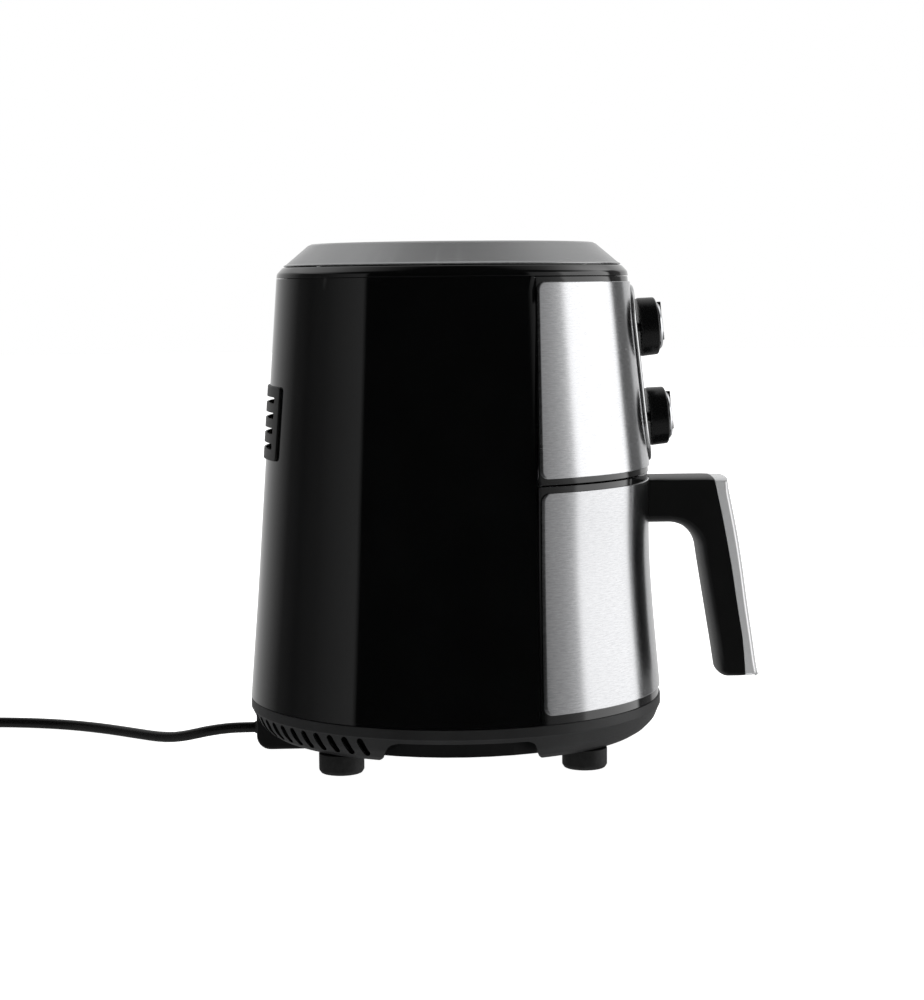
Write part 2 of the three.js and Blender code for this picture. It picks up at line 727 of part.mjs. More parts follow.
// ---------- Safety switch ----------
const switchBody = box([92, -43.4, 168.4], [104, -21.5, 180]).subtract(
  rod(2, 30, 50, 12).rotate([90, 0, 0]).translate([98, 0, 174]),
);
add("safety_switch", switchBody, WHITE_PLASTIC);
const plunger = rod(1.5, 34, 47.6, 12).rotate([90, 0, 0]).translate([98, 0, 174]);
add("switch_plunger", plunger, SATIN_BLACK);

// ---------- Base ----------
const SKIRT_PROFILE = [
  [120.5, BASE_BOTTOM_Z],
  [126, 16.8],
  [131, 22],
  [134.4, 30],
  [134.3, BASE_TOP_Z],
];
const skirtBlank = lathe([
  ...SKIRT_PROFILE,
  [100, BASE_TOP_Z],
  [100, 34.5],
  [131.9, 34.5],
  [131.9, 30.2],
  [128.9, 23.2],
  [119.2, 15.2],
]);
const archShape = new THREE.Shape(
  [[-49, 0], ...ARCH_OUTLINE, [56.5, 0]].map(([y, z]) => new THREE.Vector2(y, z)),
);
const arches = sideSlab(archShape, FAR, 4).subtract(box([-90, -FAR, -FAR], [90, FAR, FAR]));
const blockHole = box(
  [-CORD_BLOCK.halfWidth - GAP, 60, 0],
  [CORD_BLOCK.halfWidth + GAP, FAR, CORD_BLOCK.top + GAP],
);
const slotHalf = BASE_SLOTS.width / 2;
const slotTool = box([-17, -slotHalf, BASE_SLOTS.low], [17, slotHalf, BASE_SLOTS.high]);
const slotTools = [];
for (const side of [-1, 1]) {
  for (let i = 0; i < BASE_SLOTS.count; i += 1) {
    const share = i / (BASE_SLOTS.count - 1);
    const turn = BASE_SLOTS.first + share * (BASE_SLOTS.last - BASE_SLOTS.first);
    const spot = (turn * Math.PI) / 180;
    const heading = turn * BASE_SLOT_SPOT.follow;
    const leaning = slotTool.rotate([-side * BASE_SLOTS.lean, 0, 0]);
    const facing = leaning.rotate([0, 0, side > 0 ? heading : 180 - heading]);
    const x = side * BASE_SLOT_SPOT.radius * Math.cos(spot);
    const y = BASE_SLOT_SPOT.radius * Math.sin(spot);
    slotTools.push(facing.translate([x, y, BASE_SLOT_SPOT.z]));
  }
}
const skirt = skirtBlank.subtract(arches).subtract(blockHole).subtract(joined(slotTools));
add("base_skirt", skirt, BASE_PLASTIC);

const basePan = lathe([
  [0, BASE_PAN_Z],
  [BASE_PAN_RADIUS, BASE_PAN_Z],
  [BASE_PAN_RADIUS, 34.2],
  [BASE_PAN_RADIUS - 2, 34.2],
  [BASE_PAN_RADIUS - 2, BASE_PAN_Z + 2],
  [0, BASE_PAN_Z + 2],
]).subtract(box([-8, 104, 10], [8, 120, 22]));
add("base_pan", basePan, SATIN_BLACK);

const footShape = lathe(
  [
    [0, 0],
    [FOOT.radius - 1.6, 0],
    [FOOT.radius, 1.6],
    [FOOT.radius, FOOT.side],
    [FOOT.neck, FOOT.side + 0.4],
    [FOOT.neck, FOOT.top],
    [0, FOOT.top],
  ],
  SMALL_SEGMENTS,
);
for (const [end, ySign] of [
  ["front", -1],
  ["rear", 1],
]) {
  for (const [side, xSign] of [
    ["left", -1],
    ["right", 1],
  ]) {
    const foot = footShape.translate([xSign * FOOT.x, ySign * FOOT.y, 0]);
    add(`foot_${end}_${side}`, foot, RUBBER);
  }
}

// ---------- Cord block, strain relief and terminal block ----------
const blockShape = new THREE.Shape();
const blockCorner = 7.5;
blockShape.moveTo(CORD_BLOCK.front, CORD_BLOCK.bottom);
blockShape.lineTo(CORD_BLOCK.rear - blockCorner, CORD_BLOCK.bottom);
blockShape.absarc(
  CORD_BLOCK.rear - blockCorner,
  CORD_BLOCK.bottom + blockCorner,
  blockCorner,
  -Math.PI / 2,
  0,
);
blockShape.lineTo(CORD_BLOCK.rear, CORD_BLOCK.top);
blockShape.lineTo(BASE_PAN_RADIUS + 0.8, CORD_BLOCK.top);
blockShape.lineTo(BASE_PAN_RADIUS + 0.8, BASE_PAN_Z - 0.5);
blockShape.lineTo(CORD_BLOCK.front, BASE_PAN_Z - 0.5);
const alongCord = (made) => made.rotate([-90, 0, 0]).translate([0, 0, CORD_EXIT_Z]);
const blockBore = alongCord(rod(6.4, 90, 140));
add("cord_block", sideSlab(blockShape, CORD_BLOCK.halfWidth).subtract(blockBore), SATIN_BLACK);

const relief = alongCord(
  lathe(
    [
      [0, RELIEF.start],
      [5.9, RELIEF.start],
      [5.9, RELIEF.start + 4],
      [5.2, RELIEF.start + 5],
      [4.1, RELIEF.end],
      [0, RELIEF.end],
    ],
    16,
  ),
);
add("strain_relief", relief, RUBBER);
const terminals = box([-15, 72, BASE_PAN_Z + 2.3], [15, 86, 30]);
add("terminal_block", terminals, WHITE_PLASTIC);

// ---------- Cord, coil and plug ----------
add("power_cord", tube(CORD_ROUTE, CORD_RADIUS, 22), CORD_RUBBER);
const coil = lathe(
  [
    [COIL.inner + 2, 0],
    [COIL.outer - 2, 0],
    [COIL.outer, 2],
    [COIL.outer, COIL.height - 3],
    [COIL.outer - 4, COIL.height],
    [COIL.inner + 4, COIL.height],
    [COIL.inner, COIL.height - 3],
    [COIL.inner, 2],
  ],
  28,
).translate([COIL.x, COIL.y, 0]);
add("cord_coil", coil, CORD_RUBBER);

// The plug lies on its side with its blades pointing to +Y
const plugRelief = new THREE.CylinderGeometry(5.6, 4, PLUG.relief, 14);
const plugBody = slab(roundedRectangle(-12, -9.3, 12, 9.3, 4), 0, PLUG.body, 3);
const plugBlade = box([-0.75, -3.15, PLUG.body - 1], [0.75, 3.15, PLUG.body + PLUG.blade]);
const plug = plugBody
  .add(solid(plugRelief.rotateX(Math.PI / 2).translate(0, 0, 0.5 - PLUG.relief / 2)))
  .add(plugBlade.translate([-6.35, 0, 0]))
  .add(plugBlade.translate([6.35, 0, 0]))
  .rotate([-90, 0, 0])
  .translate([PLUG.x, PLUG.y + PLUG.relief - 0.5, PLUG.z]);
add("plug", plug, CORD_RUBBER);

export default group;
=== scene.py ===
"""The looks of the air fryer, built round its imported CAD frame."""

import math

import bmesh
import bpy
from mathutils import Matrix, Quaternion, Vector


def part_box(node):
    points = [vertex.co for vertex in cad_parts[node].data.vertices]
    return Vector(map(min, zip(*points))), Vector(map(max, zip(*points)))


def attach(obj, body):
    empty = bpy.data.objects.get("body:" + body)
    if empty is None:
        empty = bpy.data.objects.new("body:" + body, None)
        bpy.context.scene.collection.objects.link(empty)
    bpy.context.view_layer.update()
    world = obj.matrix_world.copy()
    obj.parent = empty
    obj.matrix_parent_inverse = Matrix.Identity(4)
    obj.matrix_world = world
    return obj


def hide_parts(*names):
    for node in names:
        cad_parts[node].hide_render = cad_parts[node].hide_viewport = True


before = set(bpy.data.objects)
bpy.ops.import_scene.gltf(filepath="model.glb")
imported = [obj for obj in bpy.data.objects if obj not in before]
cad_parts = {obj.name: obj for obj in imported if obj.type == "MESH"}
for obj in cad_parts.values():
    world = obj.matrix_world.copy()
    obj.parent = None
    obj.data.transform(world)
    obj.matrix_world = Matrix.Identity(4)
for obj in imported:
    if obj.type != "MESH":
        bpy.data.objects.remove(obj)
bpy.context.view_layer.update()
scene = bpy.context.scene

MM = 0.001
ring_low, ring_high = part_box("top_ring")
AXIS_Y = (ring_low.y + ring_high.y) / 2  # the body's own axis in the row frame


def placed(point):
    """A point laid out round the body axis, in millimetres, as a row frame point in metres."""
    x, y, z = point
    return Vector((x * MM, y * MM + AXIS_Y, z * MM))


# ---------- Camera ----------
def add_camera():
    data = bpy.data.cameras.new("camera")
    data.lens = 79.92
    data.sensor_width = 36
    data.clip_start = 0.05
    data.clip_end = 60
    camera = bpy.data.objects.new("camera", data)
    scene.collection.objects.link(camera)
    camera.location = (-1.4475, 0.1170, 0.3024)
    forward = Vector((0.99350, -0.06147, -0.09585))
    roll = Quaternion((0, 0, 1), math.radians(-0.51))
    camera.rotation_mode = "QUATERNION"
    camera.rotation_quaternion = forward.to_track_quat("-Z", "Y") @ roll
    scene.camera = camera


# ---------- Points and outlines ----------
def rounded(corners, steps=5, closed=True):
    """Points of an outline whose corners, given as (x, y, radius), are rounded off."""
    made = []
    for i, (x, y, radius) in enumerate(corners):
        here = Vector((x, y))
        if not radius or (not closed and i in (0, len(corners) - 1)):
            made.append(here)
            continue
        before = Vector(corners[i - 1][:2]) - here
        after = Vector(corners[(i + 1) % len(corners)][:2]) - here
        half = before.angle(after) / 2
        if half > math.radians(89):
            made.append(here)
            continue
        reach = min(radius / math.tan(half), 0.48 * before.length, 0.48 * after.length)
        size = reach * math.tan(half)
        middle = (before.normalized() + after.normalized()).normalized()
        centre = here + middle * size / math.sin(half)
        start = here + before.normalized() * reach - centre
        end = here + after.normalized() * reach - centre
        turn = math.pi - 2 * half
        for k in range(steps + 1):
            t = k / steps
            first = math.sin((1 - t) * turn) / math.sin(turn)
            second = math.sin(t * turn) / math.sin(turn)
            made.append(centre + start * first + end * second)
    return made


def circle(count):
    """Angles of a full turn in equal steps."""
    return [2 * math.pi * k / count for k in range(count)]


def polar(radius, angle, z):
    """A point round the body axis; the angle starts at the front."""
    return (radius * math.sin(angle), -radius * math.cos(angle), z)


def box_outline(low, high, corner, steps=5):
    """A rectangle between two corner points, with all four corners rounded off."""
    (x0, y0), (x1, y1) = low, high
    return rounded([(x0, y0, corner), (x1, y0, corner), (x1, y1, corner), (x0, y1, corner)], steps)


def finer(line, longest=2):
    """A line without its last point, with more points wherever a step is too long."""
    made = []
    for a, b in zip(line, line[1:]):
        pieces = max(1, int((b - a).length / longest))
        made.extend(a + (b - a) * k / pieces for k in range(pieces))
    return made


def smooth_line(points, per_span):
    """A smooth curve through points of any dimension."""
    points = [Vector(p) for p in points]
    ends = [2 * points[0] - points[1], *points, 2 * points[-1] - points[-2]]
    made = []
    for a, b, c, d in zip(ends, ends[1:], ends[2:], ends[3:]):
        for k in range(per_span):
            t = k / per_span
            square = (2 * a - 5 * b + 4 * c - d) * t * t
            cube = (3 * b - a - 3 * c + d) * t**3
            made.append(0.5 * (2 * b + (c - a) * t + square + cube))
    return [*made, points[-1]]


def height_lookup(profile):
    """Radius at a height, along a profile of (radius, height) points."""

    def radius(z):
        for (r0, z0), (r1, z1) in zip(profile, profile[1:]):
            if z <= z1 or (r1, z1) == tuple(profile[-1]):
                return r0 + (r1 - r0) * (z - z0) / (z1 - z0)

    return radius


# ---------- Pieces ----------
class Shape:
    """Points in millimetres round the body axis, and the faces between them."""

    def __init__(self):
        self.points = []
        self.faces = []
        self.uvs = {}

    def add_rows(self, rows, closed_rows=False, closed_columns=False, flip=False):
        """Faces between rows of points; returns the rows' point numbers."""
        first = len(self.points)
        count = len(rows[0])
        for row in rows:
            self.points.extend(Vector(p) for p in row)
        index = [[first + i * count + j for j in range(count)] for i in range(len(rows))]
        last_row = len(rows) if closed_rows else len(rows) - 1
        last_column = count if closed_columns else count - 1
        for i in range(last_row):
            for j in range(last_column):
                a = index[i][j]
                b = index[i][(j + 1) % count]
                c = index[(i + 1) % len(rows)][(j + 1) % count]
                d = index[(i + 1) % len(rows)][j]
                self.faces.append((a, d, c, b) if flip else (a, b, c, d))
        return index

    def add_cap(self, numbers):
        self.faces.append(tuple(numbers))

    def turned(self, matrix):
        self.points = [matrix @ p for p in self.points]
        return self

    def joined(self, other):
        first = len(self.points)
        self.points.extend(other.points)
        self.faces.extend(tuple(first + n for n in face) for face in other.faces)
        return self


def prism(rows):
    """A closed shape through rings of points, capped at both ends."""
    shape = Shape()
    index = shape.add_rows(rows, closed_columns=True)
    shape.add_cap(reversed(index[0]))
    shape.add_cap(index[-1])
    return shape


def mesh_object(name, shape, sharp=32, weld=0.01):
    """A Blender object of a shape, with clean outward faces and smooth shading between sharp edges."""
    mesh = bpy.data.meshes.new(name)
    mesh.from_pydata([placed(p) for p in shape.points], [], shape.faces)
    made = bmesh.new()
    made.from_mesh(mesh)
    if shape.uvs:
        layer = made.loops.layers.uv.new("wrap")
        for face in made.faces:
            for loop in face.loops:
                loop[layer].uv = shape.uvs[loop.vert.index]
    bmesh.ops.remove_doubles(made, verts=made.verts, dist=weld * MM)
    bmesh.ops.dissolve_degenerate(made, edges=made.edges, dist=weld * MM / 2)
    bmesh.ops.recalc_face_normals(made, faces=made.faces)
    made.to_mesh(mesh)
    made.free()
    shade(mesh, sharp)
    thing = bpy.data.objects.new(name, mesh)
    scene.collection.objects.link(thing)
    return thing


def shade(mesh, sharp):
    mesh.polygons.foreach_set("use_smooth", [True] * len(mesh.polygons))
    mesh.set_sharp_from_angle(angle=math.radians(sharp))


def applied(thing):
    """Makes an object's modifiers part of its mesh, and splits up many-sided faces."""
    graph = bpy.context.evaluated_depsgraph_get()
    mesh = bpy.data.meshes.new_from_object(thing.evaluated_get(graph))
    mesh.name = thing.name
    made = bmesh.new()
    made.from_mesh(mesh)
    wide = [face for face in made.faces if len(face.verts) > 4]
    bmesh.ops.triangulate(made, faces=wide, quad_method="BEAUTY", ngon_method="EAR_CLIP")
    made.to_mesh(mesh)
    made.free()
    thing.modifiers.clear()
    thing.data = mesh


def cut(thing, tools, sharp=32):
    """Cuts a shape away from an object."""
    tool = mesh_object(thing.name + "_tool", tools)
    modifier = thing.modifiers.new("cut", "BOOLEAN")
    modifier.operation = "DIFFERENCE"
    modifier.solver = "EXACT"
    modifier.use_self = True
    modifier.object = tool
    applied(thing)
    bpy.data.objects.remove(tool)
    shade(thing.data, sharp)


def bevelled(thing, width, segments=3, angle=35):
    """Rounds off an object's sharp edges by a width in millimetres."""
    modifier = thing.modifiers.new("edges", "BEVEL")
    modifier.width = width * MM
    modifier.segments = segments
    modifier.limit_method = "ANGLE"
    modifier.angle_limit = math.radians(angle)
    modifier.use_clamp_overlap = True
    modifier.miter_outer = "MITER_ARC"
    applied(thing)
    shade(thing.data, 50)
    weights = thing.modifiers.new("normals", "WEIGHTED_NORMAL")
    weights.keep_sharp = True


def finished(thing, look, body, slot, *nodes):
    """Gives a piece its material and its body, and hides the CAD nodes it stands for. The slot is not
    used.
    """
    thing.data.materials.clear()
    thing.data.materials.append(LOOKS[look])
    if nodes:
        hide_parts(*nodes)
    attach(thing, body)
    return thing


def add_piece(name, shape, sharp, look, body, slot, *nodes):
    """A finished piece made from a shape as it stands."""
    return finished(mesh_object(name, shape, sharp), look, body, slot, *nodes)


# ---------- Turned and wrapped shapes ----------
def turned_shape(profile, columns, plane=None, front=True):
    """A closed profile of (radius, height) points turned about the axis.
    With a plane, only what lies in front of (or behind) that Y is made."""
    whole = plane is None
    steps = columns if whole else columns - 1
    rows = []
    for radius, z in profile:
        start, end = 0, 2 * math.pi
        if not whole:
            limit = math.acos(max(-1, min(1, -plane / radius)))
            start, end = (-limit, limit) if front else (limit, 2 * math.pi - limit)
        angles = [start + (end - start) * j / steps for j in range(columns)]
        rows.append([polar(radius, angle, z) for angle in angles])
    shape = Shape()
    index = shape.add_rows(rows, closed_rows=True, closed_columns=whole)
    if not whole:
        shape.add_cap([row[0] for row in index])
        shape.add_cap([row[-1] for row in reversed(index)])
    return shape


def solid_of_revolution(corners, columns=96, steps=5):
    """A turned shape from rounded corners whose first and last lie on the axis."""
    line = rounded(corners, steps, closed=False)
    shape = Shape()
    rows = [[polar(radius, angle, z) for angle in circle(columns)] for radius, z in line]
    shape.add_rows(rows, closed_columns=True)
    return shape


def wrapped_shape(radius_at, heights, half_angle_at, thickness, edge, columns):
    """A thin panel wrapped round the axis, with rounded rim edges and wrap coordinates."""
    bottom, top = heights[0], heights[-1]
    # how far in from the rim and how deep under the face each grid of points lies
    levels = [(0.0, thickness), (0.0, edge), (edge * 0.3, edge * 0.3), (edge, 0.0)]
    grids = []
    for shrink, depth in levels:
        rows = []
        for z in heights:
            share = (z - (bottom + top) / 2) / ((top - bottom) / 2)
            level_z = z - share * shrink
            radius = radius_at(level_z) - depth
            half = half_angle_at(z) - shrink / radius
            angles = [half * (2 * j / (columns - 1) - 1) for j in range(columns)]
            rows.append([polar(radius, angle, level_z) for angle in angles])
        grids.append(rows)

    def rim(rows):
        left = [row[0] for row in rows[1:-1]]
        right = [row[-1] for row in rows[1:-1]]
        return [*rows[0], *right, *reversed(rows[-1]), *reversed(left)]

    shape = Shape()
    shape.add_rows(grids[-1])
    shape.add_rows(grids[0], flip=True)
    shape.add_rows([rim(rows) for rows in grids], closed_columns=True)
    for number, point in enumerate(shape.points):
        around = math.atan2(point.x, -point.y) * math.hypot(point.x, point.y)
        shape.uvs[number] = (around * MM, point.z * MM)
    return shape


def corner_heights(bottom, top, corner, rows):
    """Row heights of a panel, closer together at its rounded corners."""
    steps = 7
    bend = [corner * (1 - math.cos(math.pi / 2 * k / steps)) for k in range(steps + 1)]
    middle = [bottom + corner + (top - bottom - 2 * corner) * k / rows for k in range(1, rows)]
    return [*[bottom + b for b in bend], *middle, *[top - b for b in reversed(bend)]]


def corner_pull(z, bottom, top, corner):
    """How far a rounded corner draws the side edge in at a height."""
    near = min(z - bottom, top - z)
    if near >= corner:
        return 0.0
    return corner - math.sqrt(max(0.0, corner**2 - (corner - near) ** 2))


def outline_normals(outline):
    """Inward mitred normals of a closed outline that runs anticlockwise."""
    normals = []
    for i, here in enumerate(outline):
        before = (here - outline[i - 1]).normalized()
        after = (outline[(i + 1) % len(outline)] - here).normalized()
        n0 = Vector((-before.y, before.x))
        n1 = Vector((-after.y, after.x))
        middle = (n0 + n1).normalized()
        normals.append(middle / max(0.5, middle.dot(n0)))
    return normals


def cushion(outline, radii, half, order, steps=5, middles=1, spreads=None):
    """An outline in two axes made thick along a third. Its side edges are rounded by a radius
    per point, or by an ellipse when spreads gives the other radius, which runs across.
    Points come as (first, second, across), and order puts them into X, Y and Z."""
    spreads = spreads or radii
    area = sum(a.x * b.y - b.x * a.y for a, b in zip(outline, [*outline[1:], outline[0]]))
    if area < 0:
        outline, radii, spreads = outline[::-1], radii[::-1], spreads[::-1]
    edge = list(zip(outline, outline_normals(outline), radii, spreads))
    sides = []
    for side in (-1, 1):
        rings = [[(*(p + n * (radius + 0.5)), side * half) for p, n, radius, _ in edge]]
        for k in range(steps + 1):
            angle = math.pi / 2 * k / steps
            inward, down = 1 - math.sin(angle), 1 - math.cos(angle)
            rings.append(
                [(*(p + n * r * inward), side * (half - spread * down)) for p, n, r, spread in edge]
            )
        sides.append(rings)
    flat = []
    for m in range(1, middles + 1):
        share = 2 * m / (middles + 1) - 1
        flat.append([(*p, (half - spread) * share) for p, _, _, spread in edge])
    rows = [*sides[0], *flat, *reversed(sides[1])]
    return prism([[order(*p) for p in row] for row in rows])


def box_shape(low, high):
    (x0, y0, z0), (x1, y1, z1) = low, high
    return prism([[(x0, y0, z), (x1, y0, z), (x1, y1, z), (x0, y1, z)] for z in (z0, z1)])


def tube_shape(points, radius, sides):
    """A round tube along points, with its own turning frame."""
    points = [Vector(p) for p in points]
    spans = zip([points[0], *points[:-1]], [*points[1:], points[-1]])
    tangents = [(after - before).normalized() for before, after in spans]
    side = tangents[0].orthogonal().normalized()
    rows = []
    for point, tangent in zip(points, tangents):
        side = (side - tangent * side.dot(tangent)).normalized()
        other = tangent.cross(side)
        rows.append(
            [point + side * radius * math.cos(a) + other * radius * math.sin(a) for a in circle(sides)]
        )
    return prism(rows)


# ---------- Materials ----------
class Nodes:
    """Puts shader nodes into a tree."""

    def __init__(self, tree):
        self.tree = tree

    def node(self, kind, *values, settings=None, **inputs):
        """A new node. Its first inputs take the values in order, and the named ones the rest."""
        made = self.tree.nodes.new("ShaderNode" + kind)
        for key, value in (settings or {}).items():
            setattr(made, key, value)
        named = {key.replace("_", " "): value for key, value in inputs.items()}
        for key, value in [*enumerate(values), *named.items()]:
            self.fill(made.inputs[key], value)
        return made

    def fill(self, socket, value):
        """Gives a socket a constant, or links it to another node's output."""
        if isinstance(value, bpy.types.NodeSocket):
            self.tree.links.new(value, socket)
        else:
            socket.default_value = value

    def maths(self, operation, *values):
        return self.node("Math", *values, settings={"operation": operation}).outputs[0]

    def spread(self, value, low, high, start=0.3, end=0.7):
        """Maps start to end onto low to high."""
        return self.node("MapRange", value, start, end, low, high).outputs["Result"]


class Look(Nodes):
    """A procedural material being put together."""

    def __init__(self, name, **sockets):
        self.material = bpy.data.materials.new(name)
        self.material.use_nodes = True
        super().__init__(self.material.node_tree)
        self.shader = self.tree.nodes["Principled BSDF"]
        self.place = self.node("TexCoord").outputs["Object"]
        self.height = None
        for socket, value in sockets.items():
            self.fill(self.shader.inputs[socket.replace("_", " ")], value)

    def noise(self, scale, detail, stretch=None, place=None):
        vector = place or self.place
        if stretch:
            vector = self.node("Mapping", Vector=vector, Scale=stretch).outputs["Vector"]
        made = self.node("TexNoise", Vector=vector, Scale=scale, Detail=detail, Roughness=0.6)
        return made.outputs["Fac"]

    def cells(self, scale):
        return self.node("TexVoronoi", Vector=self.place, Scale=scale).outputs["Distance"]

    def roughness(self, value, low, high, start=0.3, end=0.7):
        """Roughness that follows a value."""
        self.fill(self.shader.inputs["Roughness"], self.spread(value, low, high, start, end))

    def colour(self, value, low, high, start=0.3, end=0.7):
        """Mixes two colours by a value."""
        ramp = self.node("ValToRGB", value)
        for element, position, shade in zip(ramp.color_ramp.elements, (start, end), (low, high)):
            element.position = position
            element.color = (*shade, 1)
        self.fill(self.shader.inputs["Base Color"], ramp.outputs["Color"])

    def bump(self, value, strength, distance):
        """Adds relief; distance in metres."""
        inputs = {"Height": value, "Strength": strength, "Distance": distance}
        if self.height is not None:
            inputs["Normal"] = self.height
        self.height = self.node("Bump", **inputs).outputs["Normal"]
        self.fill(self.shader.inputs["Normal"], self.height)


def grey(level, tint=0.0):
    """A neutral linear colour; a positive tint leans to blue."""
    return (level * (1 - tint), level, level * (1 + tint))


def gloss_black():
    look = Look("gloss_black", IOR=1.5, Coat_Weight=0.6, Coat_Roughness=0.02)
    smudge = look.noise(22, 4)
    look.colour(smudge, grey(0.0016, 0.05), grey(0.0026, 0.05))
    look.roughness(look.maths("MULTIPLY", smudge, look.noise(900, 2)), 0.035, 0.075, 0.1, 0.45)
    look.bump(look.noise(260, 1), 0.012, 0.0003)
    return look.material


def satin_plastic(name, level, rough, grain=1400, tint=0.03, relief=0.00008):
    """Black or grey moulded plastic with a fine spark-eroded grain."""
    look = Look(name, IOR=1.46)
    look.colour(look.noise(35, 3), grey(level * 0.82, tint), grey(level * 1.18, tint))
    fine = look.noise(grain, 3)
    look.roughness(fine, rough - 0.06, rough + 0.07)
    look.bump(fine, 0.35, relief)
    look.bump(look.cells(grain * 0.8), 0.15, relief)
    return look.material


def silver_paint(name, level, rough, metal=0.85):
    """Metallic silver lacquer: fine flakes under a smooth skin."""
    look = Look(name, Metallic=metal, IOR=1.5, Coat_Weight=0.25, Coat_Roughness=0.18)
    flakes = look.cells(2600)
    look.colour(flakes, grey(level * 0.93, 0.008), grey(level * 1.05, 0.008), 0.1, 0.6)
    look.roughness(look.noise(30, 3), rough - 0.03, rough + 0.04)
    look.bump(flakes, 0.05, 0.00004)
    return look.material


def brushed_steel(name, tone):
    """Steel brushed round the body; it stretches reflections up and down."""
    look = Look(name, Metallic=1.0, Anisotropic=0.9, Anisotropic_Rotation=0.25)
    look.shader.inputs["Specular Tint"].default_value = (1, 1, 1, 1)
    wrap = look.node("UVMap", settings={"uv_map": "wrap"}).outputs["UV"]
    long = look.noise(1, 3, (170, 1250, 1), wrap)
    short = look.noise(1, 2, (480, 2100, 1), wrap)
    patch = look.noise(1, 2, (9, 60, 1), wrap)
    streaks = look.maths("MULTIPLY_ADD", short, 0.45, long)
    # A tone below 1 paints the whole steel darker, as painted shade; the drawer's panel gets such a
    # copy.
    darkest = (0.66 * tone, 0.665 * tone, 0.68 * tone)
    lightest = (0.93 * tone, 0.935 * tone, 0.95 * tone)
    look.colour(streaks, darkest, lightest, 0.45, 1.0)
    rough = look.maths("MULTIPLY_ADD", patch, 0.04, look.spread(streaks, 0.16, 0.25, 0.45, 1.0))
    look.fill(look.shader.inputs["Roughness"], rough)
    look.bump(streaks, 0.10, 0.00002)
    tangent = look.node("Tangent", settings={"direction_type": "UV_MAP", "uv_map": "wrap"})
    look.fill(look.shader.inputs["Tangent"], tangent.outputs["Tangent"])
    return look.material


def polished(name, tone, rough):
    """Bright plated or polished metal with faint wipe marks."""
    look = Look(name, Metallic=1.0)
    wipe = look.noise(40, 3, (1, 1, 3))
    look.colour(wipe, tuple(c * 0.9 for c in tone), tone)
    look.roughness(look.noise(300, 2), rough * 0.7, rough * 1.4)
    look.bump(wipe, 0.01, 0.0001)
    return look.material


def rolled_metal(name, tone, rough):
    """Plain sheet metal inside: rolling marks, light stains."""
    look = Look(name, Metallic=1.0)
    marks = look.noise(60, 4, (1, 1, 14))
    look.colour(look.noise(14, 4), tuple(c * 0.75 for c in tone), tone, 0.35, 0.65)
    look.roughness(marks, rough - 0.08, rough + 0.1)
    look.bump(marks, 0.08, 0.00006)
    return look.material


def nonstick():
    look = Look("nonstick_coating", Metallic=0.15, IOR=1.5)
    look.colour(look.cells(700), grey(0.05, 0.02), grey(0.018, 0.02), 0.05, 0.25)
    look.roughness(look.noise(40, 4), 0.30, 0.46)
    look.bump(look.noise(1500, 2), 0.2, 0.00005)
    return look.material


def soft_rubber(name, level, rough):
    look = Look(name, IOR=1.5)
    look.colour(look.noise(220, 4), grey(level), grey(level * 1.9), 0.45, 0.8)
    look.roughness(look.noise(600, 2), rough - 0.08, rough + 0.08)
    look.bump(look.noise(1100, 3), 0.3, 0.0001)
    return look.material


def pale_plastic():
    look = Look("pale_plastic", IOR=1.46, Subsurface_Weight=0.05)
    look.colour(look.noise(30, 3), (0.62, 0.60, 0.55), (0.74, 0.72, 0.67))
    look.roughness(look.noise(700, 2), 0.4, 0.55)
    look.bump(look.noise(900, 2), 0.2, 0.00006)
    return look.material


def dial_print():
    look = Look("dial_print", IOR=1.5)
    look.colour(look.noise(400, 2), grey(0.020), grey(0.030))
    look.roughness(look.noise(900, 2), 0.35, 0.5)
    return look.material


LOOKS = {
    "gloss_black": gloss_black(),
    "satin_black": satin_plastic("satin_black", 0.0045, 0.40),
    "base_grey": satin_plastic("base_grey", 0.016, 0.46, 1200),
    "silver_grey": silver_paint("silver_grey", 0.42, 0.22),
    "silver_plate": silver_paint("silver_plate", 0.72, 0.12),
    "silver_trim": silver_paint("silver_trim", 0.86, 0.15, 0.45),
    "handle_black": satin_plastic("handle_black", 0.004, 0.36),
    "knob_black": satin_plastic("knob_black", 0.004, 0.24, 900, 0.03, 0.00003),
    "dial_print": dial_print(),
    "upper_steel": brushed_steel("upper_steel", 1.0),
    # The drawer's panel is the same steel at 0.85 of the brightness: painted shade.
    "shaded_lower_steel": brushed_steel("shaded_lower_steel", 0.85),
    "chrome": polished("chrome", (0.82, 0.83, 0.85), 0.06),
    "zinc_steel": rolled_metal("zinc_steel", (0.55, 0.56, 0.57), 0.38),
    "bare_aluminium": rolled_metal("bare_aluminium", (0.66, 0.67, 0.68), 0.36),
    "nonstick": nonstick(),
    "element_steel": rolled_metal("element_steel", (0.20, 0.18, 0.165), 0.45),
    "foot_rubber": soft_rubber("foot_rubber", 0.010, 0.62),
    "silicone": soft_rubber("silicone", 0.014, 0.6),
    "white_plastic": pale_plastic(),
    "bell_brass": polished("bell_brass", (0.72, 0.52, 0.22), 0.18),
    "cord_rubber": satin_plastic("cord_rubber", 0.006, 0.27, 900, 0.0, 0.00004),
}


# ---------- Cord, coil and plug ----------
CORD_RADIUS = 3.5
CORD_EXIT = (0, 133, 14.5)  # where the cord leaves its block
CORD_ROUTE = [
    (0, 131.5, 14.5), (0, 140, 14.5), (1, 148, 14.1), (3.5, 157, 12.8), (7.5, 166.5, 10.6),
    (13, 176.5, 7.6), (20, 187, 5), (28.5, 198, 3.8), (38, 209.5, 3.6), (48, 221.5, 3.6),
    (58, 234, 3.6), (67, 247, 3.6), (75, 261, 3.6), (81.5, 276, 3.6), (86.5, 292, 3.6), (90, 309, 3.6),
    (91.8, 327, 3.6), (92, 340, 3.6), (92, 353.2, 3.6), (92, 366, 3.6),
]
COIL_X, COIL_Y = 133.5, 378
COIL_TURNS = 3
COIL_STEPS = 24  # points to a turn


